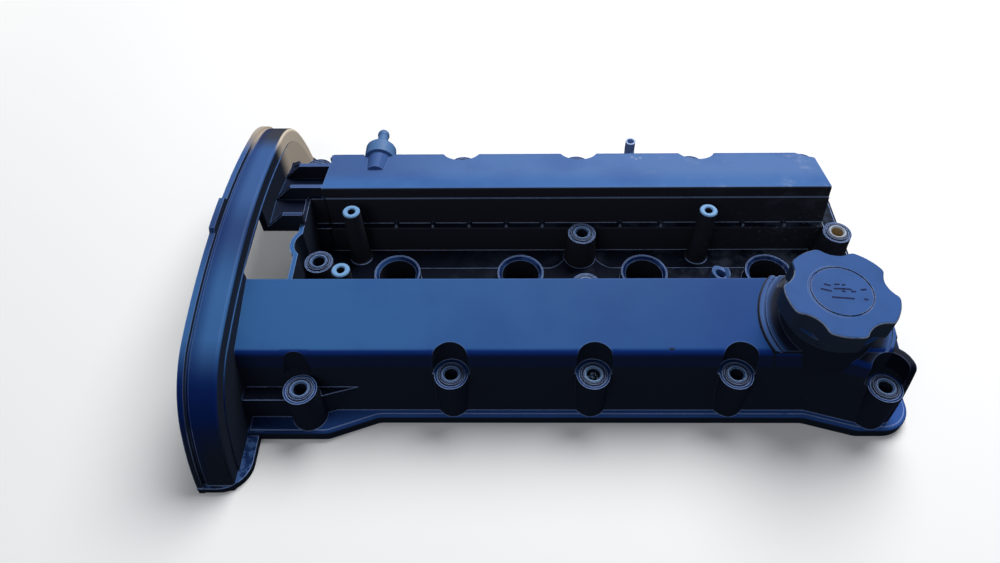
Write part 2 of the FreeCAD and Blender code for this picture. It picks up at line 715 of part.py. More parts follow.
def make_ticks():
    """Small ribs across the valley's ledges."""
    y0 = VALLEY_FOOT_Y + VALLEY_WALL_DRAFT
    ticks = []
    for x in TICK_XS:
        tick = block(x - TICK_WIDTH / 2.0, x + TICK_WIDTH / 2.0, y0 + EDGE_RADIUS,
                     y0 + VALLEY_LEDGE_WIDTH + WALL / 2.0, VALLEY_LEDGE_Z - OVER,
                     VALLEY_LEDGE_Z + TICK_HEIGHT)
        ticks += [tick, mirror_y(tick)]
    return ticks


def make_rear_flare():
    """Rear corner of the near bank, which widens round its bolt."""
    inner_points, _ = bank_profile()
    outer_points, _ = bank_profile(REAR_FLARE_OUT)
    inner_y = REAR_FLARE_INNER_Y

    def face(points, x):
        edge = points[7]
        foot = points[8]
        section = [(inner_y, 0.0), (inner_y, roof_z(inner_y)), edge, foot]
        return rounded_face(section, {2: ROOF_EDGE_RADIUS}, lambda y, z: V(x, -y, z))

    start = face(inner_points, REAR_FLARE_START_X)
    end = face(outer_points, REAR_FLARE_END_X)
    taper = Part.makeLoft([start.OuterWire, end.OuterWire], True, True)
    lug_x, lug_y = NEAR_REAR_RECESS
    lug_radius = RECESS_RADIUS + REAR_LUG_WALL
    straight = end.extrude(V(lug_x + lug_radius - REAR_FLARE_END_X, 0, 0))
    top = ROOF_INNER_Z + OVER
    outside = block(lug_x, lug_x + 2.0 * lug_radius, lug_y - 2.0 * lug_radius, 0.0, -OVER, top)
    outside = outside.cut(disc(lug_x, lug_y, -2.0 * OVER, top + OVER, lug_radius))
    return [taper, straight.cut(outside)]


def make_ledge():
    """Wedge-shaped ledge beside the first near bolt."""
    boss_x, _ = NEAR_TIMING_BOLT
    points = [
        (HOOD_REAR_X - OVER, -LEDGE_INNER_Y),
        (HOOD_REAR_X - OVER, -LEDGE_OUTER_Y),
        (boss_x, -LEDGE_OUTER_Y),
        (LEDGE_END_X, -LEDGE_INNER_Y - WALL),
        (LEDGE_END_X, -LEDGE_INNER_Y),
    ]
    return plan_prism(points, 0.0, LEDGE_Z)


def make_boss(x, y):
    """Bolt boss, wider at its foot."""
    if abs(y) > ROOF_INNER_Y:
        return cone(x, y, 0.0, BOSS_TOP_Z, BOSS_FOOT_RADIUS, BOSS_RADIUS)
    return cone(x, y, 0.0, BOSS_TOP_Z, VALLEY_BOSS_FOOT_RADIUS, VALLEY_BOSS_RADIUS)


def recess_place(x, y):
    """Centre of the recess above a side bolt; the near end bolts stand off centre in theirs."""
    shifted = {NEAR_TIMING_BOLT: NEAR_TIMING_RECESS, NEAR_REAR_BOLT: NEAR_REAR_RECESS}
    return shifted.get((x, y), (x, y))


def recess_shell(bank, x, y):
    """Wall inside a bank round the recess above a side bolt."""
    shell = disc(*recess_place(x, y), BOSS_TOP_Z - WALL, BOSS_TOP_Z, RECESS_RADIUS + WALL)
    return shell.fuse(recess(x, y, BOSS_TOP_Z, WALL)).common(bank)


def recess(x, y, z0, wall):
    """Recess above a side bolt, or the shell round it; the far ones widen upwards."""
    top = ROOF_INNER_Z + OVER
    if y < 0:
        return disc(*recess_place(x, y), z0, top, RECESS_RADIUS + wall)
    return cone(x, y, z0, top, RECESS_RADIUS + wall, RECESS_FAR_RADIUS + wall)


def bolt_cuts(x, y):
    """Grommet seat and bolt hole of one boss."""
    seat = disc(x, y, BOSS_TOP_Z - GROMMET_SEAT_DEPTH, BOSS_TOP_Z + OVER,
                GROMMET_RADIUS + GROMMET_CLEARANCE)
    sleeve = disc(x, y, SLEEVE_BOTTOM_Z, BOSS_TOP_Z, SLEEVE_OUTER_RADIUS + SLEEVE_CLEARANCE)
    bolt = disc(x, y, -OVER, BOSS_TOP_Z, SLEEVE_INNER_RADIUS)
    return [seat, sleeve, bolt]


def post_places():
    return [(POST_LEFT_X, POST_FAR_Y), (POST_LEFT_X, POST_NEAR_Y),
            (POST_RIGHT_X, POST_FAR_Y), (POST_RIGHT_X, POST_NEAR_Y)]


def make_post(x, y):
    """Post with a flared foot, turned about its own axis."""
    foot_z = VALLEY_FLOOR_Z
    start = V(x, y, foot_z - OVER)
    points = [
        start,
        V(x + POST_FOOT_RADIUS + POST_FILLET, y, foot_z - OVER),
        V(x + POST_FOOT_RADIUS + POST_FILLET, y, foot_z),
    ]
    bend = V(x + POST_FOOT_RADIUS + POST_FILLET * (1.0 - math.sin(math.pi / 4.0)), y,
             foot_z + POST_FILLET * (1.0 - math.cos(math.pi / 4.0)))
    shaft_low = V(x + POST_FOOT_RADIUS, y, foot_z + POST_FILLET)
    top_side = V(x + POST_RADIUS, y, POST_TOP_Z - POST_CHAMFER)
    top_edge = V(x + POST_RADIUS - POST_CHAMFER, y, POST_TOP_Z)
    top = V(x, y, POST_TOP_Z)
    edges = [Part.makeLine(points[0], points[1]), Part.makeLine(points[1], points[2]),
             Part.Arc(points[2], bend, shaft_low).toShape(), Part.makeLine(shaft_low, top_side),
             Part.makeLine(top_side, top_edge), Part.makeLine(top_edge, top),
             Part.makeLine(top, start)]
    return Part.Face(Part.Wire(edges)).revolve(V(x, y, 0), Z_AXIS, 360)


def post_thread(x, y):
    """Threaded hole of a post, at its core diameter, with a chamfered mouth."""
    hole = disc(x, y, POST_TOP_Z - POST_THREAD_DEPTH, POST_TOP_Z + OVER, POST_THREAD_RADIUS)
    mouth = cone(x, y, POST_TOP_Z - POST_CHAMFER, POST_TOP_Z + POST_CHAMFER,
                 POST_THREAD_RADIUS, POST_THREAD_RADIUS + 2.0 * POST_CHAMFER)
    return hole.fuse(mouth)


def break_cut():
    """What the broken post has lost: all above a ragged fracture, and chips round its hole."""
    x = POST_RIGHT_X
    y = POST_NEAR_Y
    reach = POST_RADIUS + OVER
    rise = BREAK_HIGH_Z - BREAK_LOW_Z
    heights = (0.7, 1.0, 0.6, 0.35, 0.1, 0.0, 0.7, 0.3)
    step = 2.0 * reach / (len(heights) - 1)
    ragged = [(x - reach + index * step, BREAK_LOW_Z + rise * height)
              for index, height in enumerate(heights)]
    top = POST_TOP_Z + OVER
    outline = ragged + [(x + reach, top), (x - reach, top)]
    face = rounded_face(outline, {}, lambda a, b: V(a, y - reach, b))
    chipped = cone(x, y, BREAK_LOW_Z - BREAK_MOUTH_DEPTH, BREAK_HIGH_Z, POST_THREAD_RADIUS,
                   BREAK_MOUTH_RADIUS)
    return face.extrude(V(0, 2.0 * reach, 0)).fuse(chipped)


def roof_slab(low, high):
    """Slab along the near roof, between two heights measured from its surface."""
    end_y, _ = bank_profile()[0][7]
    points = [
        (ROOF_INNER_Y, roof_z(ROOF_INNER_Y) + low),
        (ROOF_INNER_Y, roof_z(ROOF_INNER_Y) + high),
        (end_y, roof_z(end_y) + high),
        (end_y, roof_z(end_y) + low),
    ]
    return mirror_y(section_prism(points, FILLER_X - FILLER_PAD_RADIUS - OVER,
                                  FILLER_X + FILLER_PAD_RADIUS + OVER))


def filler_disc(radius):
    """Tall disc about the filler's axis."""
    return disc(FILLER_X, FILLER_Y, NECK_BORE_BOTTOM_Z, CAP_TOP_Z, radius)


def make_filler_pad():
    """Raised round pad on the near roof, parallel to it."""
    rear = block(FILLER_X, FILLER_X + 2.0 * FILLER_PAD_RADIUS, 2.0 * FILLER_Y, 0.0,
                 NECK_BORE_BOTTOM_Z, CAP_TOP_Z)
    behind = bank_solid(-1, FILLER_X - FILLER_PAD_RADIUS - OVER, NEAR_BANK_REAR_X)
    behind.translate(V(0, 0, FILLER_PAD_HEIGHT))
    pad = roof_slab(-WALL, FILLER_PAD_HEIGHT).common(filler_disc(FILLER_PAD_RADIUS))
    return pad.cut(rear).fuse(pad.common(rear).common(behind))


def pad_groove():
    """Ring groove in the pad."""
    half = FILLER_GROOVE_WIDTH / 2.0
    ring = filler_disc(FILLER_GROOVE_RADIUS + half).cut(filler_disc(FILLER_GROOVE_RADIUS - half))
    return ring.common(roof_slab(0.0, 2.0 * FILLER_PAD_HEIGHT))


def cap_relief():
    """Flat turned on the roof under the cap, and the level top of the neck."""
    low = NECK_TOP_Z - RUNNING_GAP
    flat = disc(FILLER_X, FILLER_Y, low, low + WALL, CAP_RADIUS + OVER)
    return flat.cut(disc(FILLER_X, FILLER_Y, low - OVER, NECK_TOP_Z, NECK_RADIUS))


def make_neck():
    return disc(FILLER_X, FILLER_Y, NECK_BORE_BOTTOM_Z, NECK_TOP_Z, NECK_RADIUS)


def nipple_boss():
    """Tapered boss that follows the far roof to the nipple's seat."""
    start = V(NIPPLE_X, NIPPLE_BOSS_START_Y, NIPPLE_BOSS_SMALL_Z)
    end = V(NIPPLE_X, NIPPLE_SEAT_Y, NIPPLE_Z)
    axis = end.sub(start)
    long = axis.Length + OVER
    boss = Part.makeCone(NIPPLE_BOSS_SMALL_RADIUS, NIPPLE_BOSS_LARGE_RADIUS, long, start, axis)
    return boss


def nipple_cuts():
    """Spot face in the wall's edge and the nipple's hole."""
    spot = rod_y(NIPPLE_X, NIPPLE_Z, NIPPLE_SEAT_Y, NIPPLE_SEAT_Y + 4.0 * WALL, NIPPLE_SPOT_RADIUS)
    hole = rod_y(NIPPLE_X, NIPPLE_Z, NIPPLE_BOSS_START_Y - OVER, NIPPLE_SEAT_Y + OVER,
                 NIPPLE_SPIGOT_RADIUS + NIPPLE_CLEARANCE)
    return [spot, hole]


def well_seal_pocket(x):
    return disc(x, 0.0, -OVER, WELL_SEAL_HEIGHT, WELL_SEAL_RADIUS + GASKET_CLEARANCE)


def gasket_face(clearance):
    """Band of the gasket's path, widened by a clearance on each side."""
    points, radii = seal_outline()
    face = rounded_face(points, radii, lambda x, y: V(x, y, 0))
    half = GASKET_WIDTH / 2.0 + clearance
    outer = face.makeOffset2D(half - GASKET_EDGE)
    inner = face.makeOffset2D(-half - GASKET_EDGE)
    return outer.cut(inner)


def baffle_xs():
    span = BAFFLE_LENGTH - 2.0 * BAFFLE_END_MARGIN
    pitch = span / (BAFFLE_SCREWS - 1)
    return [BAFFLE_START_X + BAFFLE_END_MARGIN + index * pitch for index in range(BAFFLE_SCREWS)]


def baffle_middle_y():
    return (BAFFLE_INNER_Y + BAFFLE_OUTER_Y) / 2.0


def make_casting():
    """The whole cover casting, as one solid."""
    cavity_x0 = HOOD_REAR_X + VALLEY_FLANGE_REACH - WALL / 2.0
    banks = {
        -1: bank_solid(-1, HOOD_REAR_X - HOOD_REAR_WALL / 2.0, NEAR_BANK_REAR_X),
        1: bank_solid(1, FAR_BANK_TIMING_X, FAR_BANK_REAR_X),
    }
    solids = [make_flange(), banks[-1], banks[1], make_hood(), make_hood_foot("near"),
              make_hood_foot("far"), make_ledge()]
    solids += make_valley() + make_bridge() + make_rear_flare()
    body = solids[0].fuse(solids[1:])

    pocket = block(VALLEY_TIMING_X + END_WALL_THICKNESS + WALL, VALLEY_REAR_X - WALL,
                   -VALLEY_FOOT_Y + VALLEY_LAND, VALLEY_FOOT_Y - VALLEY_LAND, -OVER,
                   VALLEY_FLOOR_Z - VALLEY_FLOOR_THICKNESS)
    near_cavity = bank_cavity(-1, cavity_x0, NEAR_BANK_REAR_X - WALL)
    far_cavity = bank_cavity(1, FAR_BANK_TIMING_X + WALL, FAR_BANK_REAR_X - WALL)
    body = body.cut([pocket, near_cavity, far_cavity])

    inner = []
    for x, y in near_bolts() + far_bolts():
        side = 1 if y > 0 else -1
        inner.append(recess_shell(banks[side], x, y))
    inner = [shape for shape in inner if shape.Volume > 0.0]
    bosses = [make_boss(x, y) for _, x, y in named_bolts()]
    wells = [disc(x, 0.0, 0.0, WELL_TOP_Z, WELL_OUTER_RADIUS) for x in well_xs()]
    wells += [disc(x, 0.0, 0.0, VALLEY_FLOOR_Z, WELL_SEAL_POCKET_WALL) for x in well_xs()]
    posts = [make_post(x, y) for x, y in post_places()]
    webs = [make_boss_web(), mirror_y(make_boss_web())]
    fittings = [nipple_boss(), rod_y(TUBE_X, TUBE_Z, SIDE_BOLT_Y - 4.0 * WALL, TUBE_BOSS_END_Y,
                                     TUBE_BOSS_RADIUS)]
    baffle_posts = []
    for x in baffle_xs():
        post = disc(x, baffle_middle_y(), BAFFLE_Z, roof_z(baffle_middle_y()) - WALL / 2.0,
                    BAFFLE_POST_RADIUS)
        baffle_posts += [post, mirror_y(post)]
    filler = [make_filler_pad(), make_neck()]
    body = body.fuse(inner + bosses + wells + posts + webs + make_ticks() + filler + fittings
                     + baffle_posts)

    cuts = [pad_groove(), cap_relief(), break_cut()] + nipple_cuts()
    for x, y in near_bolts() + far_bolts():
        cuts.append(recess(x, y, BOSS_TOP_Z, 0.0))
    for _, x, y in named_bolts():
        cuts += bolt_cuts(x, y)
    for x in well_xs():
        cuts.append(disc(x, 0.0, -OVER, WELL_TOP_Z + OVER, WELL_INNER_RADIUS))
        cuts.append(cone(x, 0.0, WELL_TOP_Z - WELL_CHAMFER, WELL_TOP_Z + OVER,
                         WELL_INNER_RADIUS, WELL_INNER_RADIUS + WELL_CHAMFER + OVER))
        cuts.append(well_seal_pocket(x))
    for x, y in post_places():
        cuts.append(post_thread(x, y))
    cuts.append(disc(FILLER_X, FILLER_Y, NECK_BORE_BOTTOM_Z - OVER, NECK_TOP_Z + OVER,
                     NECK_BORE_RADIUS))
    cuts.append(rod_y(TUBE_X, TUBE_Z, SIDE_BOLT_Y - 5.0 * WALL, TUBE_BOSS_END_Y + OVER,
                      TUBE_RADIUS + TUBE_CLEARANCE))
    for x in baffle_xs():
        thread = disc(x, baffle_middle_y(), BAFFLE_Z - OVER, BAFFLE_Z + SCREW_LENGTH + OVER,
                      SCREW_SHANK_RADIUS + SCREW_CLEARANCE)
        cuts += [thread, mirror_y(thread)]
    groove = gasket_face(GASKET_CLEARANCE)
    groove.translate(V(0, 0, -OVER))
    cuts.append(groove.extrude(V(0, 0, GASKET_HEIGHT + GASKET_CLEARANCE + OVER)))
    body = body.cut(cuts)
    return body.removeSplitter()


def make_gasket():
    return gasket_face(0.0).extrude(V(0, 0, GASKET_HEIGHT))


def make_well_seal(x):
    ring = disc(x, 0.0, 0.0, WELL_SEAL_HEIGHT - GASKET_CLEARANCE, WELL_SEAL_RADIUS)
    bore = disc(x, 0.0, -OVER, WELL_SEAL_HEIGHT + OVER, WELL_SEAL_BORE)
    lip = cone(x, 0.0, -OVER, WELL_SEAL_HEIGHT / 2.0, WELL_SEAL_BORE + WELL_SEAL_HEIGHT / 2.0 + OVER,
               WELL_SEAL_BORE)
    return ring.cut([bore, lip])


def make_grommet(x, y):
    """Rubber ring between boss and sleeve, with a raised inner lip."""
    low = BOSS_TOP_Z - GROMMET_SEAT_DEPTH
    body = disc(x, y, low, BOSS_TOP_Z - GROMMET_LIP_HEIGHT, GROMMET_RADIUS)
    lip = disc(x, y, low, BOSS_TOP_Z + GROMMET_LIP_HEIGHT, GROMMET_LIP_RADIUS)
    bore = disc(x, y, low - OVER, BOSS_TOP_Z + OVER, SLEEVE_OUTER_RADIUS + GROMMET_CLEARANCE)
    return body.fuse(lip).cut(bore)


def make_sleeve(x, y):
    """Steel sleeve with a small outer chamfer and a wider one in its mouth."""
    top = BOSS_TOP_Z + SLEEVE_PROUD
    tube = disc(x, y, SLEEVE_BOTTOM_Z, top, SLEEVE_OUTER_RADIUS)
    top_edges = [edge for edge in tube.Edges if edge.BoundBox.ZMin > top - EXACT]
    tube = tube.makeChamfer(SLEEVE_CHAMFER, top_edges)
    bore = disc(x, y, SLEEVE_BOTTOM_Z - OVER, top + OVER, SLEEVE_INNER_RADIUS)
    mouth = cone(x, y, top - SLEEVE_MOUTH_CHAMFER, top + OVER, SLEEVE_INNER_RADIUS,
                 SLEEVE_INNER_RADIUS + SLEEVE_MOUTH_CHAMFER + OVER)
    return tube.cut([bore, mouth])


def cap_outline_face(z):
    """Round outline with five shallow dips, as a face."""
    disc_face = Part.Face(Part.Wire(Part.makeCircle(CAP_RADIUS, V(FILLER_X, FILLER_Y, z), Z_AXIS)))
    dips = []
    for index in range(CAP_LOBES):
        angle = math.radians(CAP_DIP_ANGLE + index * 360.0 / CAP_LOBES)
        reach = CAP_RADIUS + CAP_DIP_RADIUS - CAP_DIP_DEPTH
        centre = V(FILLER_X + reach * math.cos(angle), FILLER_Y + reach * math.sin(angle), z)
        dips.append(Part.Face(Part.Wire(Part.makeCircle(CAP_DIP_RADIUS, centre, Z_AXIS))))
    return disc_face.cut(dips)


def make_cap():
    """Screw cap: lobed knob, round lower ring, disc groove and hollow spigot."""
    bottom = NECK_TOP_Z + CAP_SEAL_HEIGHT
    skirt = NECK_TOP_Z + RUNNING_GAP
    knob_z = skirt + CAP_RING_HEIGHT
    knob = cap_outline_face(knob_z).extrude(V(0, 0, CAP_TOP_Z - knob_z))
    corners = [edge for edge in knob.Edges if edge.BoundBox.ZLength > CAP_EDGE_RADIUS]
    knob = knob.makeFillet(CAP_CORNER_RADIUS, corners)
    top_edges = [edge for edge in knob.Edges if edge.BoundBox.ZMin > CAP_TOP_Z - EXACT]
    knob = knob.makeFillet(CAP_EDGE_RADIUS, top_edges)
    ring = cone(FILLER_X, FILLER_Y, skirt, knob_z + OVER, CAP_RING_RADIUS - OVER, CAP_RING_RADIUS)
    spigot_radius = NECK_BORE_RADIUS - RUNNING_GAP
    spigot = disc(FILLER_X, FILLER_Y, NECK_TOP_Z - CAP_SPIGOT_LENGTH, knob_z, spigot_radius)
    seal_room = disc(FILLER_X, FILLER_Y, skirt - OVER, bottom,
                     spigot_radius + CAP_SEAL_WIDTH + 2.0 * RUNNING_GAP)
    seal_room = seal_room.cut(disc(FILLER_X, FILLER_Y, skirt - 2.0 * OVER, bottom + OVER,
                                   spigot_radius))
    hollow = disc(FILLER_X, FILLER_Y, NECK_TOP_Z - CAP_SPIGOT_LENGTH - OVER, CAP_TOP_Z - CAP_CROWN,
                  spigot_radius - CAP_SPIGOT_WALL)
    groove = disc(FILLER_X, FILLER_Y, CAP_TOP_Z - CAP_GROOVE_DEPTH, CAP_TOP_Z + OVER,
                  CAP_DISC_RADIUS + CAP_GROOVE_WIDTH / 2.0)
    groove = groove.cut(disc(FILLER_X, FILLER_Y, CAP_TOP_Z - 2.0 * OVER, CAP_TOP_Z + 2.0 * OVER,
                             CAP_DISC_RADIUS - CAP_GROOVE_WIDTH / 2.0))
    return knob.fuse([ring, spigot]).cut([seal_room, hollow, groove]).removeSplitter()


def make_cap_seal():
    """Flat ring between the neck's top and the cap."""
    inner = NECK_BORE_RADIUS
    outer = inner + CAP_SEAL_WIDTH
    ring = disc(FILLER_X, FILLER_Y, NECK_TOP_Z, NECK_TOP_Z + CAP_SEAL_HEIGHT, outer)
    return ring.cut(disc(FILLER_X, FILLER_Y, NECK_TOP_Z - OVER, NECK_TOP_Z + CAP_SEAL_HEIGHT + OVER,
                         inner))


def make_nipple():
    """Plastic nipple: spigot, collar, shoulder, neck and ball end, turned about one axis."""
    collar_end = NIPPLE_SEAT_Y + NIPPLE_COLLAR_LENGTH
    shoulder_end = collar_end + NIPPLE_SHOULDER_LENGTH
    spigot = rod_y(NIPPLE_X, NIPPLE_Z, NIPPLE_SEAT_Y - NIPPLE_SPIGOT_LENGTH, NIPPLE_SEAT_Y + OVER,
                   NIPPLE_SPIGOT_RADIUS)
    collar = rod_y(NIPPLE_X, NIPPLE_Z, NIPPLE_SEAT_Y, collar_end, NIPPLE_COLLAR_RADIUS)
    shoulder = Part.makeCone(NIPPLE_COLLAR_RADIUS, NIPPLE_SHOULDER_RADIUS, NIPPLE_SHOULDER_LENGTH,
                             V(NIPPLE_X, collar_end, NIPPLE_Z), Y_AXIS)
    neck = Part.makeCone(NIPPLE_SHOULDER_RADIUS, NIPPLE_NECK_RADIUS, NIPPLE_BALL_Y - shoulder_end,
                         V(NIPPLE_X, shoulder_end, NIPPLE_Z), Y_AXIS)
    ball = Part.makeSphere(NIPPLE_BALL_RADIUS, V(NIPPLE_X, NIPPLE_BALL_Y, NIPPLE_Z))
    bore = rod_y(NIPPLE_X, NIPPLE_Z, NIPPLE_SEAT_Y - NIPPLE_SPIGOT_LENGTH - OVER,
                 NIPPLE_BALL_Y + 2.0 * NIPPLE_BALL_RADIUS, NIPPLE_BORE_RADIUS)
    body = spigot.fuse([collar, shoulder, neck, ball]).cut(bore)
    return body.cut(nipple_ring_groove())


def nipple_ring_groove():
    """Groove round the spigot for its sealing ring."""
    y0 = NIPPLE_SEAT_Y - NIPPLE_SPIGOT_LENGTH / 2.0
    y1 = y0 + NIPPLE_RING_SECTION + 2.0 * NIPPLE_CLEARANCE
    depth = NIPPLE_RING_SECTION
    return rod_y(NIPPLE_X, NIPPLE_Z, y0, y1, NIPPLE_SPIGOT_RADIUS + OVER).cut(
        rod_y(NIPPLE_X, NIPPLE_Z, y0 - OVER, y1 + OVER, NIPPLE_SPIGOT_RADIUS - depth))


def make_nipple_ring():
    """Rubber ring in the spigot's groove, flush with the hole."""
    y0 = NIPPLE_SEAT_Y - NIPPLE_SPIGOT_LENGTH / 2.0 + NIPPLE_CLEARANCE
    y1 = y0 + NIPPLE_RING_SECTION
    outer = rod_y(NIPPLE_X, NIPPLE_Z, y0, y1, NIPPLE_SPIGOT_RADIUS + NIPPLE_CLEARANCE / 2.0)
    inner = rod_y(NIPPLE_X, NIPPLE_Z, y0 - OVER, y1 + OVER,
                  NIPPLE_SPIGOT_RADIUS - NIPPLE_RING_SECTION + NIPPLE_CLEARANCE / 2.0)
    return outer.cut(inner)


def make_tube():
    """Steel tube that leaves the far wall level and turns up."""
    start_y = TUBE_BOSS_END_Y - TUBE_INSERT
    bend_y = TUBE_UPRIGHT_Y - TUBE_BEND_RADIUS
    turn = TUBE_BEND_RADIUS * math.sin(math.pi / 4.0)
    edges = [
        Part.makeLine(V(TUBE_X, start_y, TUBE_Z), V(TUBE_X, bend_y, TUBE_Z)),
        Part.Arc(V(TUBE_X, bend_y, TUBE_Z),
                 V(TUBE_X, bend_y + turn, TUBE_Z + TUBE_BEND_RADIUS - turn),
                 V(TUBE_X, TUBE_UPRIGHT_Y, TUBE_Z + TUBE_BEND_RADIUS)).toShape(),
        Part.makeLine(V(TUBE_X, TUBE_UPRIGHT_Y, TUBE_Z + TUBE_BEND_RADIUS),
                      V(TUBE_X, TUBE_UPRIGHT_Y, TUBE_TOP_Z)),
    ]
    path = Part.Wire(edges)
    start = V(TUBE_X, start_y, TUBE_Z)
    outer = Part.Wire(Part.makeCircle(TUBE_RADIUS, start, Y_AXIS))
    inner = Part.Wire(Part.makeCircle(TUBE_BORE_RADIUS, start, Y_AXIS))
    return path.makePipeShell([outer], True, False).cut(path.makePipeShell([inner], True, False))


def make_baffle(side):
    """Folded steel plate under a roof, with a lip along each long edge."""
    x0 = BAFFLE_START_X
    x1 = BAFFLE_START_X + BAFFLE_LENGTH
    low = BAFFLE_Z - BAFFLE_THICKNESS
    corners = [(x0, BAFFLE_INNER_Y), (x1, BAFFLE_INNER_Y), (x1, BAFFLE_OUTER_Y), (x0, BAFFLE_OUTER_Y)]
    plate = plan_prism(corners, low, BAFFLE_Z, {index: BAFFLE_CORNER for index in range(4)})
    lips = [block(x0 + BAFFLE_CORNER, x1 - BAFFLE_CORNER, y, y + BAFFLE_THICKNESS, low,
                  BAFFLE_Z + BAFFLE_LIP)
            for y in (BAFFLE_INNER_Y, BAFFLE_OUTER_Y - BAFFLE_THICKNESS)]
    holes = [disc(x, baffle_middle_y(), low - OVER, BAFFLE_Z + OVER,
                  SCREW_SHANK_RADIUS + SCREW_CLEARANCE) for x in baffle_xs()]
    plate = plate.fuse(lips).cut(holes)
    return plate if side > 0 else mirror_y(plate)


def make_baffle_screws(side):
    """The screws of one baffle, as a group."""
    head_z = BAFFLE_Z - BAFFLE_THICKNESS
    screws = []
    for x in baffle_xs():
        y = baffle_middle_y()
        head = disc(x, y, head_z - SCREW_HEAD_HEIGHT, head_z, SCREW_HEAD_RADIUS)
        shank = disc(x, y, head_z - OVER, head_z + SCREW_LENGTH, SCREW_SHANK_RADIUS)
        screws.append(head.fuse(shank))
    group = Part.makeCompound(screws)
    return group if side > 0 else mirror_y(group)


def main():
    os.makedirs("parts", exist_ok=True)
    export("cover_casting", make_casting())
    for name, x, y in named_bolts():
        export("bolt_grommet_" + name, make_grommet(x, y))
        export("bolt_sleeve_" + name, make_sleeve(x, y))
    for number, x in enumerate(well_xs(), 1):
        export("plug_well_seal_%d" % number, make_well_seal(x))
    export("perimeter_gasket", make_gasket())
    export("filler_cap", make_cap())
    export("filler_cap_seal", make_cap_seal())
    export("breather_nipple", make_nipple())
    export("breather_nipple_ring", make_nipple_ring())
    export("breather_tube", make_tube())
    for name, side in (("near", -1), ("far", 1)):
        export("oil_baffle_" + name, make_baffle(side))
        export("baffle_screws_" + name, make_baffle_screws(side))


main()
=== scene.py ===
import math
import random

import bmesh
import bpy
from mathutils import Matrix, Vector


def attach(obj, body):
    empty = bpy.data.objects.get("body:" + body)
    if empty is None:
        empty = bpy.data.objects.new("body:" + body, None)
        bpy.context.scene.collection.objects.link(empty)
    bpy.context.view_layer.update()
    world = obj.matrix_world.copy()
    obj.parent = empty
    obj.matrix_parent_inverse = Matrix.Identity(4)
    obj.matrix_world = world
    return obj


# Looks of a cast valve cover with a screw-on filler cap. Places and lengths are in
# millimetres, times MM where they become metres. The lamps' and the floor's are in metres.

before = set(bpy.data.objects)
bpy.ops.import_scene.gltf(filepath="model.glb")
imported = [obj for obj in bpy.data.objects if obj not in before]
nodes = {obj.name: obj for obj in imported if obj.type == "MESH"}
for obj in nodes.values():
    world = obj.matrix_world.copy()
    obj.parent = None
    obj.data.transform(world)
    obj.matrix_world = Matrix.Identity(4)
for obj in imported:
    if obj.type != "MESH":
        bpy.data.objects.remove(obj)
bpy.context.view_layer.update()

MM = 0.001

# Places on the cover. Where a tone ends at an edge, its limit lies a little past it.
CAP_PLACE = (139.4, -66.1, 88.0)
CAP_GROOVE_Z = (86.9, 87.6)
CAP_DISC_RADIUS = 17.6
PAD_INNER_RADIUS = 27.0
PAD_RADIUS = 40.6
CYLINDER_PITCH = 86.0
WELL_LIP_RADIUS = 16.7
BROKEN_POST = (84.4, -26.9)
POST_PLACES = ((-158.6, 24.6), (-158.6, -26.9), (84.4, 24.6), BROKEN_POST)
POST_ARC_RADIUS = 8.2
BARE_METAL_START_Z = 59.8
END_BOLTS = ((-176.0, -102.3), (172.0, -100.8))
CRUMBED_BOLT = (0.0, -92.0, 36.6)
CRUMB_COUNT = 26
BOSS_TOP_LOW_Z = 38.6
BOSS_TOP_HIGH_Z = 40.4
ROOF_START_Z = 45.0
ROOF_SLOPE = 0.2283
FLANGE_LIMIT_Z = 10.0
CORNER_START_X = -191.0
CORNER_LENGTH = 12.6
VALLEY_START_X = -188.0
VALLEY_WALL_Y = 41.0
HOOD_REAR_X = -214.0
HOOD_RIM_X = -231.0
BRIDGE_REAR_X = -181.5
BRIDGE_NEAR_Y = 13.0
NIPPLE_X = -146.5
UNDER_WELLS_X = 145.0
UNDER_WELLS_Y = 14.0
LEDGE_TICKS = (-131.7, -105.6, -79.5, -53.0, -27.2, 28.1, 57.1, 86.2, 115.3, 144.4)
ROOF_NICK = (45.2, -85.2)
ROOF_MARKS = ((38.4, 80.2), (41.0, 77.6), (44.2, 79.0))

# Camera, with its angles down, aside and round in radians
CAMERA_LENS = 26.757
CAMERA_PLACE = (-49.3126, -327.6867, 425.915)
CAMERA_ANGLES = (0.8982, -0.0248, 0.0215)

# Strokes of the oil can, from the cap's axis
STROKE_WIDTH = 1.24
STROKE_DEPTH = 0.25
STROKE_PROUD = 0.05
OIL_CAN = (
    ((-8.8, 5.1), (-5.6, 4.0)),
    ((-3.0, 4.8), (-0.4, 4.9)),
    ((1.3, 4.4), (2.9, 4.6)),
    ((-11.5, 1.7), (-6.0, 0.0)),
    ((-4.0, 1.8), (1.3, 1.6), (5.6, 1.1)),
    ((0.1, 0.2), (1.6, -0.5)),
    ((5.2, -0.4), (7.6, -0.4)),
    ((10.9, 0.7), (13.9, 1.1)),
    ((-6.7, -4.3), (5.4, -5.5)),
    ((11.0, -5.9), (12.9, -6.3)),
)

# Wall beside the valley's timing end, Y and Z round its section
CORNER_SECTION = (
    (30.5, 6.0), (30.5, 13.3), (32.5, 34.8), (37.7, 34.8), (38.5, 58.5),
    (41.6, 58.5), (41.2, 31.3), (36.0, 31.3), (34.0, 13.3), (34.0, 6.0),
)

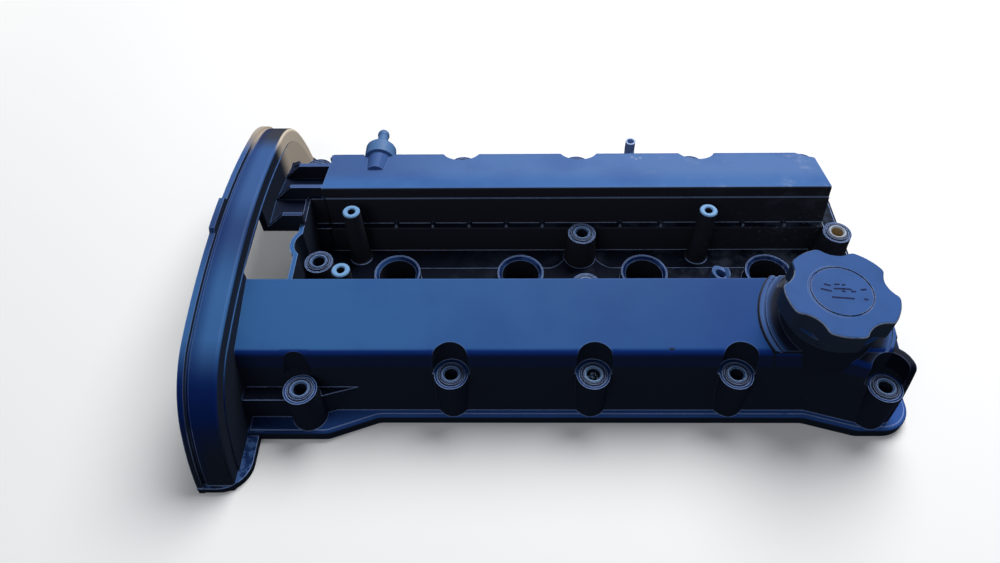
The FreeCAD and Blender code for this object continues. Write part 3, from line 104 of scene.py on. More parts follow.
# Paint tones of the casting, linear. Many of them stand for light: the lighter blues of up-facing faces
# are a painted reflection, several dark tones painted shade and the pale lines painted highlights
WALL = (0.0190, 0.0260, 0.0450)
VALLEY_WALL = (0.0330, 0.0345, 0.0490)
# Deep blue: painted shading of the rounded roof edges, also the roofs' cloud tone
EDGE_BLUE = (0.0085, 0.0380, 0.2300)
# Roof tops: lighter blues, a painted reflection, changing along X and lighter on the far roof
NEAR_ROOF_TIMING = (0.036, 0.134, 0.355)
NEAR_ROOF_REAR = (0.003, 0.054, 0.248)
FAR_ROOF_TIMING = (0.050, 0.106, 0.285)
FAR_ROOF_REAR = (0.080, 0.168, 0.395)
FAR_ROOF_EDGE = (0.048, 0.142, 0.380)
# Hood tones: painted light and shade along the arch
HOOD_HIGH = (0.046, 0.116, 0.310)
HOOD_MIDDLE = (0.042, 0.136, 0.350)
HOOD_DIP = (0.026, 0.066, 0.200)
HOOD_LOW = (0.0032, 0.0190, 0.1250)
HOOD_TIP = (0.045, 0.050, 0.068)
# Beige on the hood's rear wall and far rim, a painted reflection
HOOD_REFLECTION = (0.740, 0.630, 0.500)
# Bridge: a dark floor, painted shade, and lit rib tops, painted light
BRIDGE = (0.0050, 0.0110, 0.0340)
RIB_TOP = (0.060, 0.110, 0.290)
# Dark navy: painted shade on the valley floor, also the tone of the lug beside the cap
VALLEY = (0.0070, 0.0105, 0.0230)
VALLEY_PATCH = (0.0420, 0.0560, 0.0900)
# Up-facing flange: a lit blue, painted light
FLANGE = (0.034, 0.100, 0.360)
BOSS_TOP = (0.012, 0.038, 0.135)
# Chamfered lip of the wells: a lit navy with brighter streaks, painted light
WELL_LIP = (0.0060, 0.0180, 0.0800)
WELL_STREAK = (0.0300, 0.0850, 0.2700)
BARE_METAL = (0.190, 0.380, 0.660)
FRACTURE = (0.060, 0.130, 0.310)
# Pale edge lines: painted highlights, brighter in the valley
EDGE_HIGHLIGHT = (0.300, 0.430, 0.780)
VALLEY_HIGHLIGHT = (0.520, 0.680, 1.000)
# Pad tones: a lighter rim, painted light, and a painted shadow of the cap near it
PAD_RIM = (0.040, 0.112, 0.340)
PAD_CAP_SHADOW = (0.0085, 0.0140, 0.0350)
SCUFF = (0.060, 0.130, 0.330)
DUST = (0.300, 0.360, 0.520)

# Colours of the other pieces, linear
# Cap tones: the lighter top and dark side are painted light and shade, the pale edge a painted highlight
CAP_TOP = (0.024, 0.094, 0.310)
CAP_SIDE = (0.0360, 0.0540, 0.0940)
CAP_EDGE = (0.300, 0.360, 0.500)
CAP_GROOVE = (0.012, 0.042, 0.180)
PICTOGRAM = (0.004, 0.014, 0.075)
GROMMET = (0.006, 0.015, 0.050)
SLEEVE = (0.060, 0.135, 0.330)
SLEEVE_EDGE = (0.36, 0.54, 0.86)
WORN_SLEEVE = (0.150, 0.290, 0.580)
WORN_EDGE = (0.50, 0.70, 0.95)
STEEL = (0.34, 0.42, 0.56)
STEEL_EDGE = (0.70, 0.78, 0.88)
RUSTY_BORE = (0.440, 0.345, 0.190)
SEAL = (0.010, 0.010, 0.012)
NIPPLE = (0.092, 0.205, 0.440)
TUBE = (0.300, 0.450, 0.780)
BAFFLE = (0.40, 0.41, 0.42)
SCREW = (0.48, 0.47, 0.42)
DEBRIS = (0.20, 0.30, 0.46)
WHITE = (1.0, 1.0, 1.0)
FLOOR = (0.97, 0.97, 0.97)
FLOOR_BOUNCE = (0.05, 0.05, 0.055)
WELL_SHADE = (0.004, 0.005, 0.008)
AMBIENT = (0.84, 0.90, 1.0)

# Painted light and shade along the hood, each tone with the Y where it begins and the Y where it is
# reached
HOOD_TONES = (
    (-144.0, -126.0, HOOD_LOW),
    (-118.0, -88.0, HOOD_MIDDLE),
    (-62.0, -16.0, HOOD_DIP),
    (-12.0, 20.0, HOOD_HIGH),
    (66.0, 90.0, HOOD_TIP),
)


def darker(colour, share):
    return tuple(share * part for part in colour)


class Shader:
    """A node material with short calls for its nodes."""

    def __init__(self, name):
        self.material = bpy.data.materials.new(name)
        self.material.use_nodes = True
        self.tree = self.material.node_tree
        self.tree.nodes.clear()
        self.output = self.add("ShaderNodeOutputMaterial")
        self.coords = self.add("ShaderNodeTexCoord")

    def add(self, kind, **settings):
        node = self.tree.nodes.new(kind)
        for key, value in settings.items():
            setattr(node, key, value)
        return node

    def link(self, source, target):
        self.tree.links.new(source, target)

    def feed(self, socket, value):
        if isinstance(value, bpy.types.NodeSocket):
            self.link(value, socket)
        elif isinstance(value, tuple) and len(value) == 3 and socket.type == "RGBA":
            socket.default_value = (*value, 1.0)
        else:
            socket.default_value = value

    def math(self, operation, first, second=0.0, third=0.0):
        node = self.add("ShaderNodeMath", operation=operation)
        self.feed(node.inputs[0], first)
        self.feed(node.inputs[1], second)
        self.feed(node.inputs[2], third)
        return node.outputs[0]

    def times(self, first, *others):
        result = first
        for other in others:
            result = self.math("MULTIPLY", result, other)
        return result

    def most(self, first, *others):
        result = first
        for other in others:
            result = self.math("MAXIMUM", result, other)
        return result

    def less(self, value):
        return self.math("SUBTRACT", 1.0, value)

    def noise(self, scale, detail=3.0, roughness=0.55):
        node = self.add("ShaderNodeTexNoise")
        self.feed(node.inputs["Vector"], self.coords.outputs["Object"])
        self.feed(node.inputs["Scale"], scale)
        self.feed(node.inputs["Detail"], detail)
        self.feed(node.inputs["Roughness"], roughness)
        return node.outputs["Fac"]

    def ramp(self, value, low, high):
        """0 below low and 1 above high, or the other way round."""
        node = self.add("ShaderNodeMapRange", interpolation_type="SMOOTHSTEP")
        self.feed(node.inputs["Value"], value)
        if low < high:
            self.feed(node.inputs["From Min"], low)
            self.feed(node.inputs["From Max"], high)
            return node.outputs["Result"]
        self.feed(node.inputs["From Min"], high)
        self.feed(node.inputs["From Max"], low)
        return self.less(node.outputs["Result"])

    def over(self, value, limit, soft=0.5):
        """1 above the limit."""
        return self.ramp(value, limit - soft, limit + soft)

    def below(self, value, limit, soft=0.5):
        """1 under the limit."""
        return self.ramp(value, limit + soft, limit - soft)

    def band(self, value, low, high, soft=0.5):
        """1 between low and high."""
        return self.times(self.over(value, low, soft), self.below(value, high, soft))

    def mix(self, factor, first, second):
        node = self.add("ShaderNodeMix", data_type="RGBA")
        self.feed(node.inputs["Factor"], factor)
        self.feed(node.inputs[6], first)
        self.feed(node.inputs[7], second)
        return node.outputs[2]

    def split(self, vector):
        node = self.add("ShaderNodeSeparateXYZ")
        self.link(vector, node.inputs[0])
        return node.outputs

    def place(self):
        """X, Y and Z in millimetres."""
        scale = self.add("ShaderNodeVectorMath", operation="SCALE")
        self.link(self.coords.outputs["Object"], scale.inputs[0])
        scale.inputs["Scale"].default_value = 1000.0
        return self.split(scale.outputs[0])

    def facing(self):
        return self.split(self.coords.outputs["Normal"])

    def distance(self, x, y, centre):
        across = self.math("SUBTRACT", x, centre[0])
        along = self.math("SUBTRACT", y, centre[1])
        return self.math("SQRT", self.math("ADD", self.times(across, across),
                                           self.times(along, along)))

    def edges(self, radius, low=0.015, high=0.12):
        """1 along the edges of the mesh, where the rounded normal leaves the true one."""
        bevel = self.add("ShaderNodeBevel", samples=6)
        bevel.inputs["Radius"].default_value = radius * MM
        geometry = self.add("ShaderNodeNewGeometry")
        dot = self.add("ShaderNodeVectorMath", operation="DOT_PRODUCT")
        self.link(bevel.outputs[0], dot.inputs[0])
        self.link(geometry.outputs["Normal"], dot.inputs[1])
        away = self.less(dot.outputs["Value"])
        # Only edges whose rounded normal faces up, where painted highlights go.
        upward = self.ramp(self.split(bevel.outputs[0])[2], 0.10, 0.45)
        return self.times(self.ramp(away, low, high), upward)

    def bump(self, height, strength, distance):
        node = self.add("ShaderNodeBump")
        self.feed(node.inputs["Height"], height)
        node.inputs["Strength"].default_value = strength
        node.inputs["Distance"].default_value = distance
        return node.outputs["Normal"]

    def principled(self, colour, roughness, metallic=0.0, specular=0.5, normal=None):
        node = self.add("ShaderNodeBsdfPrincipled")
        self.feed(node.inputs["Base Color"], colour)
        self.feed(node.inputs["Roughness"], roughness)
        self.feed(node.inputs["Metallic"], metallic)
        self.feed(node.inputs["Specular IOR Level"], specular)
        if normal is not None:
            self.link(normal, node.inputs["Normal"])
        return node.outputs["BSDF"]

    def emission(self, strength):
        node = self.add("ShaderNodeEmission")
        node.inputs["Color"].default_value = (*WHITE, 1.0)
        self.feed(node.inputs["Strength"], strength)
        return node.outputs[0]

    def blend(self, factor, first, second):
        """One surface where the factor is 0, the other where it is 1."""
        node = self.add("ShaderNodeMixShader")
        self.feed(node.inputs[0], factor)
        self.link(first, node.inputs[1])
        self.link(second, node.inputs[2])
        return node.outputs[0]

    def finish(self, surface):
        self.link(surface, self.output.inputs["Surface"])
        return self.material


class CastingPaint(Shader):
    """Dark blue paint. Each of its methods changes the tone of one region of the casting. Up-facing
    faces get lighter blues, a painted reflection, low or hidden places darker tones, painted shade, and
    edges pale lines, painted highlights.
    """

    def __init__(self):
        super().__init__("casting_paint")
        self.x, self.y, self.z = self.place()
        self.normal_x, _, self.normal_z = self.facing()
        self.away = self.math("ABSOLUTE", self.y)
        self.blotch = self.noise(60.0, 5.0, 0.6)
        self.top = self.ramp(self.normal_z, 0.82, 0.95)
        self.high = self.over(self.z, ROOF_START_Z, 2.0)
        self.inner = self.times(self.below(self.away, VALLEY_WALL_Y, 1.0),
                                self.over(self.x, VALLEY_START_X, 2.0))
        self.tone = WALL
        self.hushed = 0.0

    def tint(self, mask, tone):
        self.tone = self.mix(mask, self.tone, tone)

    def hush(self, mask):
        """No painted edge highlights there."""
        self.hushed = self.most(self.hushed, mask)

    def paint_walls(self):
        self.tint(self.inner, VALLEY_WALL)
        # The rounded outer edges of the roofs are a deep blue, painted shading between the lit tops and
        # the dark walls.
        rounded = self.ramp(self.normal_z, 0.10, 0.50)
        self.tint(self.times(rounded, self.high, self.over(self.away, 55.0, 5.0)), EDGE_BLUE)

    def paint_roofs(self):
        # Up-facing roof tops take a lighter blue than the walls, a painted reflection, changing along X
        # and lighter on the far roof, painted light; the cloud is a random tone and the smudges are
        # dust.
        near_roof = self.mix(self.ramp(self.x, -210.0, 190.0), NEAR_ROOF_TIMING, NEAR_ROOF_REAR)
        far_roof = self.mix(self.ramp(self.x, -190.0, -60.0), FAR_ROOF_TIMING, FAR_ROOF_REAR)
        far_roof = self.mix(self.ramp(self.y, 62.0, 46.0), far_roof, FAR_ROOF_EDGE)
        roof = self.mix(self.over(self.y, 0.0, 1.0), near_roof, far_roof)
        cloud = self.noise(22.0, 4.0)
        roof = self.mix(self.times(self.ramp(cloud, 0.42, 0.68), 0.22), roof, EDGE_BLUE)
        smudge = self.times(self.ramp(self.blotch, 0.56, 0.74), self.ramp(self.y, 20.0, 40.0),
                            self.ramp(self.x, -30.0, 150.0), 0.35)
        self.tint(self.times(self.top, self.high), self.mix(smudge, roof, DUST))

    def paint_nipple_boss(self):
        # The boss beside the nipple takes the far roof's lit tone, painted light.
        beside = self.band(self.x, NIPPLE_X - 10.0, NIPPLE_X + 10.0)
        self.tint(self.times(beside, self.over(self.y, 62.0, 1.0), self.less(self.top),
                             self.over(self.z, 47.5, 1.5)), FAR_ROOF_TIMING)

    def paint_valley_floor(self):
        # The up-facing floor of the valley is a dark navy, painted shade, with lighter patches.
        patch = self.times(self.ramp(self.blotch, 0.45, 0.70), self.ramp(self.x, -160.0, 120.0))
        self.tint(self.times(self.top, self.less(self.high)), self.mix(patch, VALLEY, VALLEY_PATCH))

    def paint_boss_tops(self):
        """Boss tops, darker in the valley, a painted shade. Beside the end bolts the recess floor takes
        the wall's dark tone, a painted shade, and gets no edge highlights.
        """
        level = self.band(self.z, BOSS_TOP_LOW_Z, BOSS_TOP_HIGH_Z)
        side = self.over(self.away, 82.0, 2.0)
        tone = self.mix(side, darker(BOSS_TOP, 0.35), BOSS_TOP)
        self.tint(self.times(self.top, level), tone)
        for bolt in END_BOLTS:
            from_bolt = self.distance(self.x, self.y, bolt)
            beside = self.times(level, self.over(from_bolt, 10.2, 0.2),
                                self.below(from_bolt, 21.5), side)
            self.tint(beside, WALL)
            self.hush(beside)

    def paint_flange(self):
        # The up-facing flange is a lighter blue, painted light, and darker towards the hood end.
        mask = self.times(self.ramp(self.normal_z, 0.20, 0.80), self.below(self.z, FLANGE_LIMIT_Z, 1.0),
                          self.over(self.away, 89.0, 3.0))
        self.tint(mask, self.mix(self.ramp(self.x, -214.0, -120.0), darker(FLANGE, 0.30), FLANGE))

    def paint_wells(self):
        # The chamfered lip of each well is a lit navy with brighter streaks, painted light.
        along = self.math("WRAP", self.x, CYLINDER_PITCH, 0.0)
        from_well = self.distance(along, self.y, (CYLINDER_PITCH / 2.0, 0.0))
        lip = self.times(self.below(from_well, WELL_LIP_RADIUS, 0.3), self.band(self.z, 21.0, 25.0, 0.4),
                         self.ramp(self.normal_z, 0.25, 0.60))
        streak = self.times(self.ramp(self.noise(55.0, 2.0), 0.46, 0.62), 0.8)
        self.tint(lip, self.mix(streak, WELL_LIP, WELL_STREAK))

    def paint_hood(self):
        """Painted light and shade along the arch, from its near foot to its far end; its front rim
        darker and its steep faces dark, painted shade.
        """
        tone = WALL
        for start, end, next_tone in HOOD_TONES:
            tone = self.mix(self.ramp(self.y, start, end), tone, next_tone)
        front = self.times(self.below(self.x, -227.0, 4.0), self.over(self.x, -233.4, 0.2), 0.55)
        tone = self.mix(front, tone, HOOD_LOW)
        tone = self.mix(self.ramp(self.normal_z, 0.20, 0.60), WALL, tone)
        self.tint(self.below(self.x, HOOD_REAR_X), tone)

    def paint_hood_foot(self):
        scuff = self.ramp(self.noise(240.0, 5.0, 0.7), 0.47, 0.56)
        self.tint(self.times(self.below(self.x, -204.0, 1.0), self.below(self.y, -112.5, 1.5),
                             self.band(self.z, 1.0, 9.0), self.top, scuff, 0.75), SCUFF)

    def paint_hood_reflection(self):
        # The beige on the hood's rear wall and far rim is a painted reflection; it and the hood's step
        # get no edge highlights.
        rear = self.times(self.below(self.x, HOOD_REAR_X), self.over(self.y, 76.0, 10.0),
                          self.ramp(self.normal_x, 0.3, 0.7))
        rim = self.times(self.below(self.x, HOOD_RIM_X, 1.0), self.over(self.y, 80.0, 20.0),
                         self.over(self.z, 49.0, 9.0), 0.6)
        reflection = self.most(rear, rim)
        self.tint(reflection, HOOD_REFLECTION)
        self.hush(reflection)
        self.hush(self.times(self.band(self.x, -215.7, -213.0, 0.2), 0.9))

    def paint_bridge(self):
        # The bridge's floor is darker, painted shade, and its rib tops a lighter blue, painted light.
        far = self.over(self.y, BRIDGE_NEAR_Y, 1.0)
        self.tint(self.times(self.band(self.x, HOOD_REAR_X, BRIDGE_REAR_X), far,
                             self.ramp(self.normal_z, 0.5, 0.8)), BRIDGE)
        height = self.math("MULTIPLY_ADD", self.y, ROOF_SLOPE, self.z)
        self.tint(self.times(self.band(self.x, -206.0, -181.0), far, self.top,
                             self.over(height, 71.5, 1.5)), RIB_TOP)

    def paint_cap_pad(self):
        # The pad is darker near the cap, a painted shadow of the cap, and lighter at its outer rim,
        # painted light; a dark line runs along its edge and the lug beyond is darker.
        from_cap = self.distance(self.x, self.y, CAP_PLACE)
        pad = self.times(self.band(from_cap, PAD_INNER_RADIUS, PAD_RADIUS, 0.3), self.top, self.high)
        self.tint(pad, self.mix(self.over(from_cap, 35.0, 3.0), PAD_CAP_SHADOW, PAD_RIM))
        rim = self.times(self.band(from_cap, PAD_RADIUS - 0.8, PAD_RADIUS + 0.4, 0.2), self.high)
        self.tint(rim, WALL)
        self.hush(rim)
        lug = self.times(self.over(self.x, 162.0, 4.0), self.below(self.y, -83.0, 3.0),
                         self.over(self.z, 42.0, 1.0), self.over(from_cap, 40.7, 0.3))
        self.tint(lug, VALLEY)

    def paint_marks(self):
        """The nick and marks in the roofs and the dust in the valley's rear half."""
        nick = self.times(self.band(self.x, ROOF_NICK[0] - 1.4, ROOF_NICK[0] + 1.4),
                          self.band(self.y, ROOF_NICK[1] - 0.7, ROOF_NICK[1] + 0.7), self.high)
        self.tint(nick, WALL)
        for mark in ROOF_MARKS:
            from_mark = self.distance(self.x, self.y, mark)
            self.tint(self.times(self.below(from_mark, 1.1, 0.4), self.high, 0.6), DUST)
        speck = self.times(self.ramp(self.noise(260.0, 4.0, 0.7), 0.60, 0.72), self.inner,
                           self.ramp(self.x, 30.0, 150.0), self.less(self.high), 0.35)
        film = self.times(self.ramp(self.blotch, 0.50, 0.70), self.inner,
                          self.ramp(self.x, 60.0, 170.0), 0.08)
        self.tint(self.most(speck, film), DUST)

    def hush_ticks(self):
        """The painted highlight along the ledge breaks off at its ticks."""
        ledge = self.times(self.band(self.z, 30.0, 36.5), self.band(self.away, 34.5, 39.0))
        for tick in LEDGE_TICKS:
            self.hush(self.times(self.band(self.x, tick - 2.0, tick + 2.0, 0.2), ledge))

    def post_feet(self):
        """1 on the arc in front of each post's foot, where a painted highlight goes."""
        feet = 0.0
        for post in POST_PLACES:
            from_post = self.distance(self.x, self.y, post)
            arc = self.band(from_post, POST_ARC_RADIUS - 0.3, POST_ARC_RADIUS + 0.3, 0.2)
            feet = self.most(feet, self.times(arc, self.below(self.y, post[1] - 3.0, 2.0)))
        return self.times(feet, self.below(self.z, 15.4, 0.2))

    def paint_edge_highlights(self):
        """Pale lines on the upward edges, painted highlights, patchy and fainter on the roofs. Returns
        where they are.
        """
        line = self.times(self.edges(0.9, 0.008, 0.060), self.ramp(self.blotch, 0.22, 0.42))
        line = self.times(self.most(line, self.post_feet()), self.less(self.hushed))
        quiet = self.most(self.times(self.high, self.over(self.away, 43.0, 1.0)),
                          self.over(self.z, 62.5, 1.5),
                          self.times(self.over(self.z, 53.0, 3.0), 0.6))
        line = self.times(line, self.less(self.times(quiet, 0.75)))
        straight = self.times(self.inner, self.ramp(self.away, 29.0, 30.5),
                              self.less(self.band(self.z, 38.0, 41.0, 0.2)))
        self.tint(line, self.mix(straight, EDGE_HIGHLIGHT, VALLEY_HIGHLIGHT))
        return line

    def paint_posts(self, line):
        from_break = self.distance(self.x, self.y, BROKEN_POST)
        fracture = self.times(self.below(from_break, 7.5), self.over(self.z, 51.0, 3.0))
        self.tint(self.times(fracture, self.less(line)), FRACTURE)
        self.tint(self.times(self.over(self.z, BARE_METAL_START_Z, 0.2), self.below(self.away, 33.5),
                             self.over(self.x, -169.0, 1.0), self.ramp(self.normal_z, 0.0, 0.5)),
                  BARE_METAL)


def casting_paint():
    shader = CastingPaint()
    shader.paint_walls()
    shader.paint_roofs()
    shader.paint_nipple_boss()
    shader.paint_valley_floor()
    shader.paint_boss_tops()
    shader.paint_flange()
    shader.paint_wells()
    shader.paint_hood()
    shader.paint_hood_foot()
    shader.paint_hood_reflection()
    shader.paint_bridge()
    shader.paint_cap_pad()
    shader.paint_marks()
    shader.hush_ticks()
    shader.paint_posts(shader.paint_edge_highlights())
    shine = shader.math("MULTIPLY_ADD", shader.times(shader.top, shader.high), 0.12, 0.03)
    bump = shader.bump(shader.noise(900.0, 2.0), 0.2, 0.12 * MM)
    return shader.finish(shader.principled(shader.tone, 0.48, specular=shine, normal=bump))


def cap_plastic():
    """Blue plastic of the cap, a lighter blue on top and dark on its sides, painted light and shade, and
    pale along its rounded and upward edges, painted highlights.
    """
    shader = Shader("cap_plastic")
    x, y, z = shader.place()
    normal_z = shader.facing()[2]
    up = shader.ramp(normal_z, 0.70, 0.96)
    cloud = shader.ramp(shader.noise(40.0, 3.0), 0.35, 0.7)
    colour = shader.mix(up, CAP_SIDE, shader.mix(cloud, CAP_TOP, darker(CAP_TOP, 0.84)))
    from_axis = shader.distance(x, y, CAP_PLACE)
    # A pale arc beside the disc on its -X side, a painted highlight.
    arc = shader.times(shader.band(from_axis, CAP_DISC_RADIUS + 1.3, CAP_DISC_RADIUS + 1.7, 0.2), up,
                       shader.ramp(x, CAP_PLACE[0] + 4.0, CAP_PLACE[0] - 8.0), 0.22)
    colour = shader.mix(arc, colour, CAP_EDGE)
    groove = shader.times(shader.band(z, *CAP_GROOVE_Z, 0.1), up)
    colour = shader.mix(groove, colour, CAP_GROOVE)
    rounded = shader.times(shader.band(normal_z, 0.40, 0.88, 0.08), shader.ramp(z, 85.8, 86.4))
    rounded = shader.most(rounded, shader.edges(0.8))
    painted_highlight = shader.times(rounded, shader.ramp(shader.noise(60.0), 0.36, 0.56), 0.7)
    colour = shader.mix(painted_highlight, colour, CAP_EDGE)
    bump = shader.bump(shader.noise(1600.0, 2.0), 0.25, 0.1 * MM)
    return shader.finish(shader.principled(colour, 0.5, specular=0.10, normal=bump))


def plain(name, colour, roughness, metallic=0.0, specular=0.5, grain=600.0, strength=0.15):
    """A finish with a fine grain and a slight change of tone."""
    shader = Shader(name)
    tone = shader.mix(shader.noise(grain / 8.0), colour, darker(colour, 0.75))
    bump = shader.bump(shader.noise(grain, 2.0), strength, 0.1 * MM)
    return shader.finish(shader.principled(tone, roughness, metallic, specular, bump))


def ringed(name, face, side, edge, roughness=0.4, metallic=0.0):
    """A small round piece: one tone on top, one on its sides and a thin pale line on its upward edges, a
    painted highlight.
    """
    shader = Shader(name)
    up = shader.ramp(shader.facing()[2], 0.35, 0.85)
    tone = shader.mix(shader.noise(300.0), face, darker(face, 0.7))
    colour = shader.mix(up, side, tone)
    colour = shader.mix(shader.edges(0.55, 0.008, 0.070), colour, edge)
    bump = shader.bump(shader.noise(700.0, 2.0), 0.15, 0.1 * MM)
    return shader.finish(shader.principled(colour, roughness, metallic, 0.2, bump))


paint = casting_paint()
rubber = plain("seal_rubber", SEAL, 0.6, specular=0.2)
finishes = {
    "cover_casting": paint,
    "filler_cap": cap_plastic(),
    "filler_cap_seal": rubber,
    # Grommet and sleeves: the wall's dark tone on their sides is painted shade and the blue tops of the
    # steel sleeves a painted reflection; the bright sleeve's bore is rust.
    "bolt_grommet": ringed("grommet_rubber", GROMMET, WALL, EDGE_HIGHLIGHT, 0.55),
    "bolt_sleeve": ringed("sleeve_steel", SLEEVE, WALL, SLEEVE_EDGE),
    "bolt_sleeve_near_3": ringed("sleeve_worn", WORN_SLEEVE, WALL, WORN_EDGE),
    "bolt_sleeve_valley_4": ringed("sleeve_bright", STEEL, RUSTY_BORE, STEEL_EDGE),
    "perimeter_gasket": rubber,
    "plug_well_seal": rubber,
    "breather_nipple": plain("nipple_plastic", NIPPLE, 0.45, specular=0.25),
    "breather_nipple_ring": rubber,
    "breather_tube": plain("tube_steel", TUBE, 0.4, specular=0.5),
    "oil_baffle": plain("baffle_steel", BAFFLE, 0.4, metallic=1.0),
    "baffle_screws": plain("screw_steel", SCREW, 0.4, metallic=1.0),
}


def finish_of(name):
    """The finish whose name starts the node's name, the longest one first."""
    for start in sorted(finishes, key=len, reverse=True):
        if name.startswith(start):
            return finishes[start]
    raise ValueError(name)


for name, node in nodes.items():
    node.data.materials.clear()
    node.data.materials.append(finish_of(name))


def new_object(name, data):
    made = bpy.data.objects.new(name, data)
    bpy.context.collection.objects.link(made)
    return made


def new_mesh(name, shape):
    """The mesh of a bmesh, which is freed."""
    mesh = bpy.data.meshes.new(name)
    shape.to_mesh(mesh)
    shape.free()
    return mesh


def piece(name, shape, material, body):
    """A new piece from a bmesh, on a body of the frame."""
    bmesh.ops.recalc_face_normals(shape, faces=shape.faces)
    mesh = new_mesh(name, shape)
    mesh.materials.append(material)
    made = new_object(name, mesh)
    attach(made, body)


def add_stroke(shape, start, end):
    """One stroke with rounded ends, seen from above, in millimetres from the cap's axis."""
    along = end - start
    sunk = Vector((0.0, 0.0, STROKE_DEPTH / 2.0 - STROKE_PROUD))
    centre = Vector(CAP_PLACE) + ((start + end) / 2.0).to_3d() - sunk
    size = Matrix.Diagonal((along.length + STROKE_WIDTH / 2.0, STROKE_WIDTH, STROKE_DEPTH, 1.0))
    turn = Matrix.Rotation(math.atan2(along.y, along.x), 4, "Z")
    made = bmesh.ops.create_cube(shape, size=MM, matrix=Matrix.Translation(centre * MM) @ turn @ size)
    upright = [edge for edge in {edge for vert in made["verts"] for edge in vert.link_edges}
               if abs(edge.verts[0].co.z - edge.verts[1].co.z) > STROKE_DEPTH * MM / 2.0]
    bmesh.ops.bevel(shape, geom=upright, offset=STROKE_WIDTH * MM / 3.0, segments=2, profile=0.5,
                    affect="EDGES", material=-1)


def make_pictogram():
    """Oil can on the cap, in short dark strokes that stand 0.05 mm proud of it."""
    shape = bmesh.new()
    for stroke in OIL_CAN:
        for start, end in zip(stroke, stroke[1:]):
            add_stroke(shape, Vector(start), Vector(end))
    piece("cap_pictogram", shape, plain("pictogram_ink", PICTOGRAM, 0.6, specular=0.1), "cap")


def make_debris():
    """Dry crumbs in the mouth of the middle bolt hole of the near side."""
    source = random.Random(7)
    shape = bmesh.new()
    for _ in range(CRUMB_COUNT):
        angle = source.uniform(0.0, 2.0 * math.pi)
        reach = source.uniform(0.4, 3.5)
        size = source.uniform(0.25, 0.75)
        aside = Vector((reach * math.cos(angle), reach * math.sin(angle), source.uniform(-0.4, 0.9)))
        place = Vector(CRUMBED_BOLT) + aside
        turn = Matrix.Rotation(source.uniform(0.0, math.pi), 4, Vector((1.0, 0.7, 0.4)))
        made = bmesh.ops.create_icosphere(shape, subdivisions=1, radius=size * MM,
                                          matrix=Matrix.Translation(place * MM) @ turn)
        for vert in made["verts"]:
            vert.co += Vector([source.uniform(-0.2, 0.2) * size * MM for _ in range(3)])
    piece("bolt_hole_crumbs", shape, plain("crumbs", DEBRIS, 0.9, specular=0.1), "cover")


def make_valley_corner():
    """Short stretch of the valley's far wall beside its timing end wall."""
    shape = bmesh.new()
    outline = [shape.verts.new((CORNER_START_X * MM, y * MM, z * MM)) for y, z in CORNER_SECTION]
    grown = bmesh.ops.extrude_face_region(shape, geom=[shape.faces.new(outline)], use_keep_orig=True)
    moved = [part for part in grown["geom"] if isinstance(part, bmesh.types.BMVert)]
    bmesh.ops.translate(shape, vec=(CORNER_LENGTH * MM, 0.0, 0.0), verts=moved)
    piece("valley_corner", shape, paint, "cover")


def floor_finish():
    """Keeps shadows, has a painted shade under the wells and fades to white away from the cover."""
    shader = Shader("floor")
    x, y, _ = shader.place()
    under = shader.times(shader.band(x, -UNDER_WELLS_X, UNDER_WELLS_X),
                         shader.band(y, -UNDER_WELLS_Y, UNDER_WELLS_Y))
    pale = shader.principled(shader.mix(under, FLOOR, WELL_SHADE), 0.9, specular=0.0)
    lit = shader.add("ShaderNodeAddShader")
    shader.link(pale, lit.inputs[0])
    shader.link(shader.emission(shader.times(shader.less(under), 0.04)), lit.inputs[1])
    far = shader.ramp(shader.distance(x, y, (0.0, 0.0)), 380.0, 900.0)
    seen = shader.blend(far, lit.outputs[0], shader.emission(1.0))
    bounce = shader.principled(FLOOR_BOUNCE, 0.9, specular=0.0)
    rays = shader.add("ShaderNodeLightPath")
    return shader.finish(shader.blend(rays.outputs["Is Camera Ray"], bounce, seen))


def make_floor():
    shape = bmesh.new()
    bmesh.ops.create_grid(shape, x_segments=1, y_segments=1, size=6.0,
                          matrix=Matrix.Translation((0.0, 0.0, -0.2 * MM)))
    mesh = new_mesh("floor", shape)
    mesh.materials.append(floor_finish())
    floor = new_object("floor", mesh)


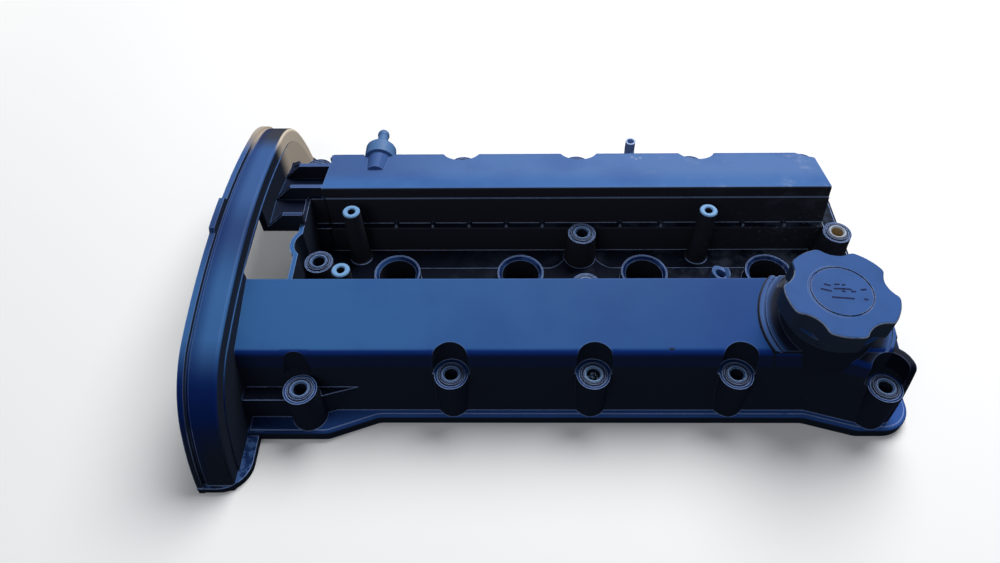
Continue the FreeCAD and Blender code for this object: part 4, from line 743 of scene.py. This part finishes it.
def make_world():
    """White for the camera, a soft cool light for everything else."""
    world = bpy.data.worlds.new("studio")
    bpy.context.scene.world = world
    world.use_nodes = True
    tree = world.node_tree
    tree.nodes.clear()
    output = tree.nodes.new("ShaderNodeOutputWorld")
    rays = tree.nodes.new("ShaderNodeLightPath")
    blend = tree.nodes.new("ShaderNodeMixShader")
    tree.links.new(rays.outputs["Is Camera Ray"], blend.inputs[0])
    for slot, colour, strength in ((1, AMBIENT, 0.18), (2, WHITE, 1.0)):
        background = tree.nodes.new("ShaderNodeBackground")
        background.inputs["Color"].default_value = (*colour, 1.0)
        background.inputs["Strength"].default_value = strength
        tree.links.new(background.outputs[0], blend.inputs[slot])
    tree.links.new(blend.outputs[0], output.inputs["Surface"])


def make_lamp(name, place, size, power):
    """A round lamp that shines at the cover."""
    data = bpy.data.lights.new(name, "AREA")
    data.shape = "DISK"
    data.size = size
    data.energy = power
    place = Vector(place)
    turn = (-place).to_track_quat("-Z", "Y").to_matrix().to_4x4()
    new_object(name, data).matrix_world = Matrix.Translation(place) @ turn


def make_camera():
    """Camera at the photograph's place, found from the plug wells, bolts and flange."""
    data = bpy.data.cameras.new("camera")
    data.sensor_fit = "HORIZONTAL"
    data.sensor_width = 36.0
    data.lens = CAMERA_LENS
    data.clip_start = 0.01
    down_angle, yaw, roll = CAMERA_ANGLES
    forward = Vector((math.sin(yaw) * math.cos(down_angle), math.cos(yaw) * math.cos(down_angle),
                      -math.sin(down_angle)))
    level = Vector((math.cos(yaw), -math.sin(yaw), 0.0))
    below = forward.cross(level)
    right = math.cos(roll) * level + math.sin(roll) * below
    down = -math.sin(roll) * level + math.cos(roll) * below
    turn = Matrix((right, -down, -forward)).transposed()
    camera = new_object("camera", data)
    camera.matrix_world = Matrix.Translation(Vector(CAMERA_PLACE) * MM) @ turn.to_4x4()
    bpy.context.scene.camera = camera


make_pictogram()
make_debris()
make_valley_corner()
make_floor()
make_world()
make_lamp("overhead", (0.40, 0.86, 1.34), 1.25, 30.0)
make_lamp("front_fill", (-0.7, -1.2, 1.2), 0.9, 2.5)
make_camera()

bpy.context.scene.view_settings.view_transform = "Standard"
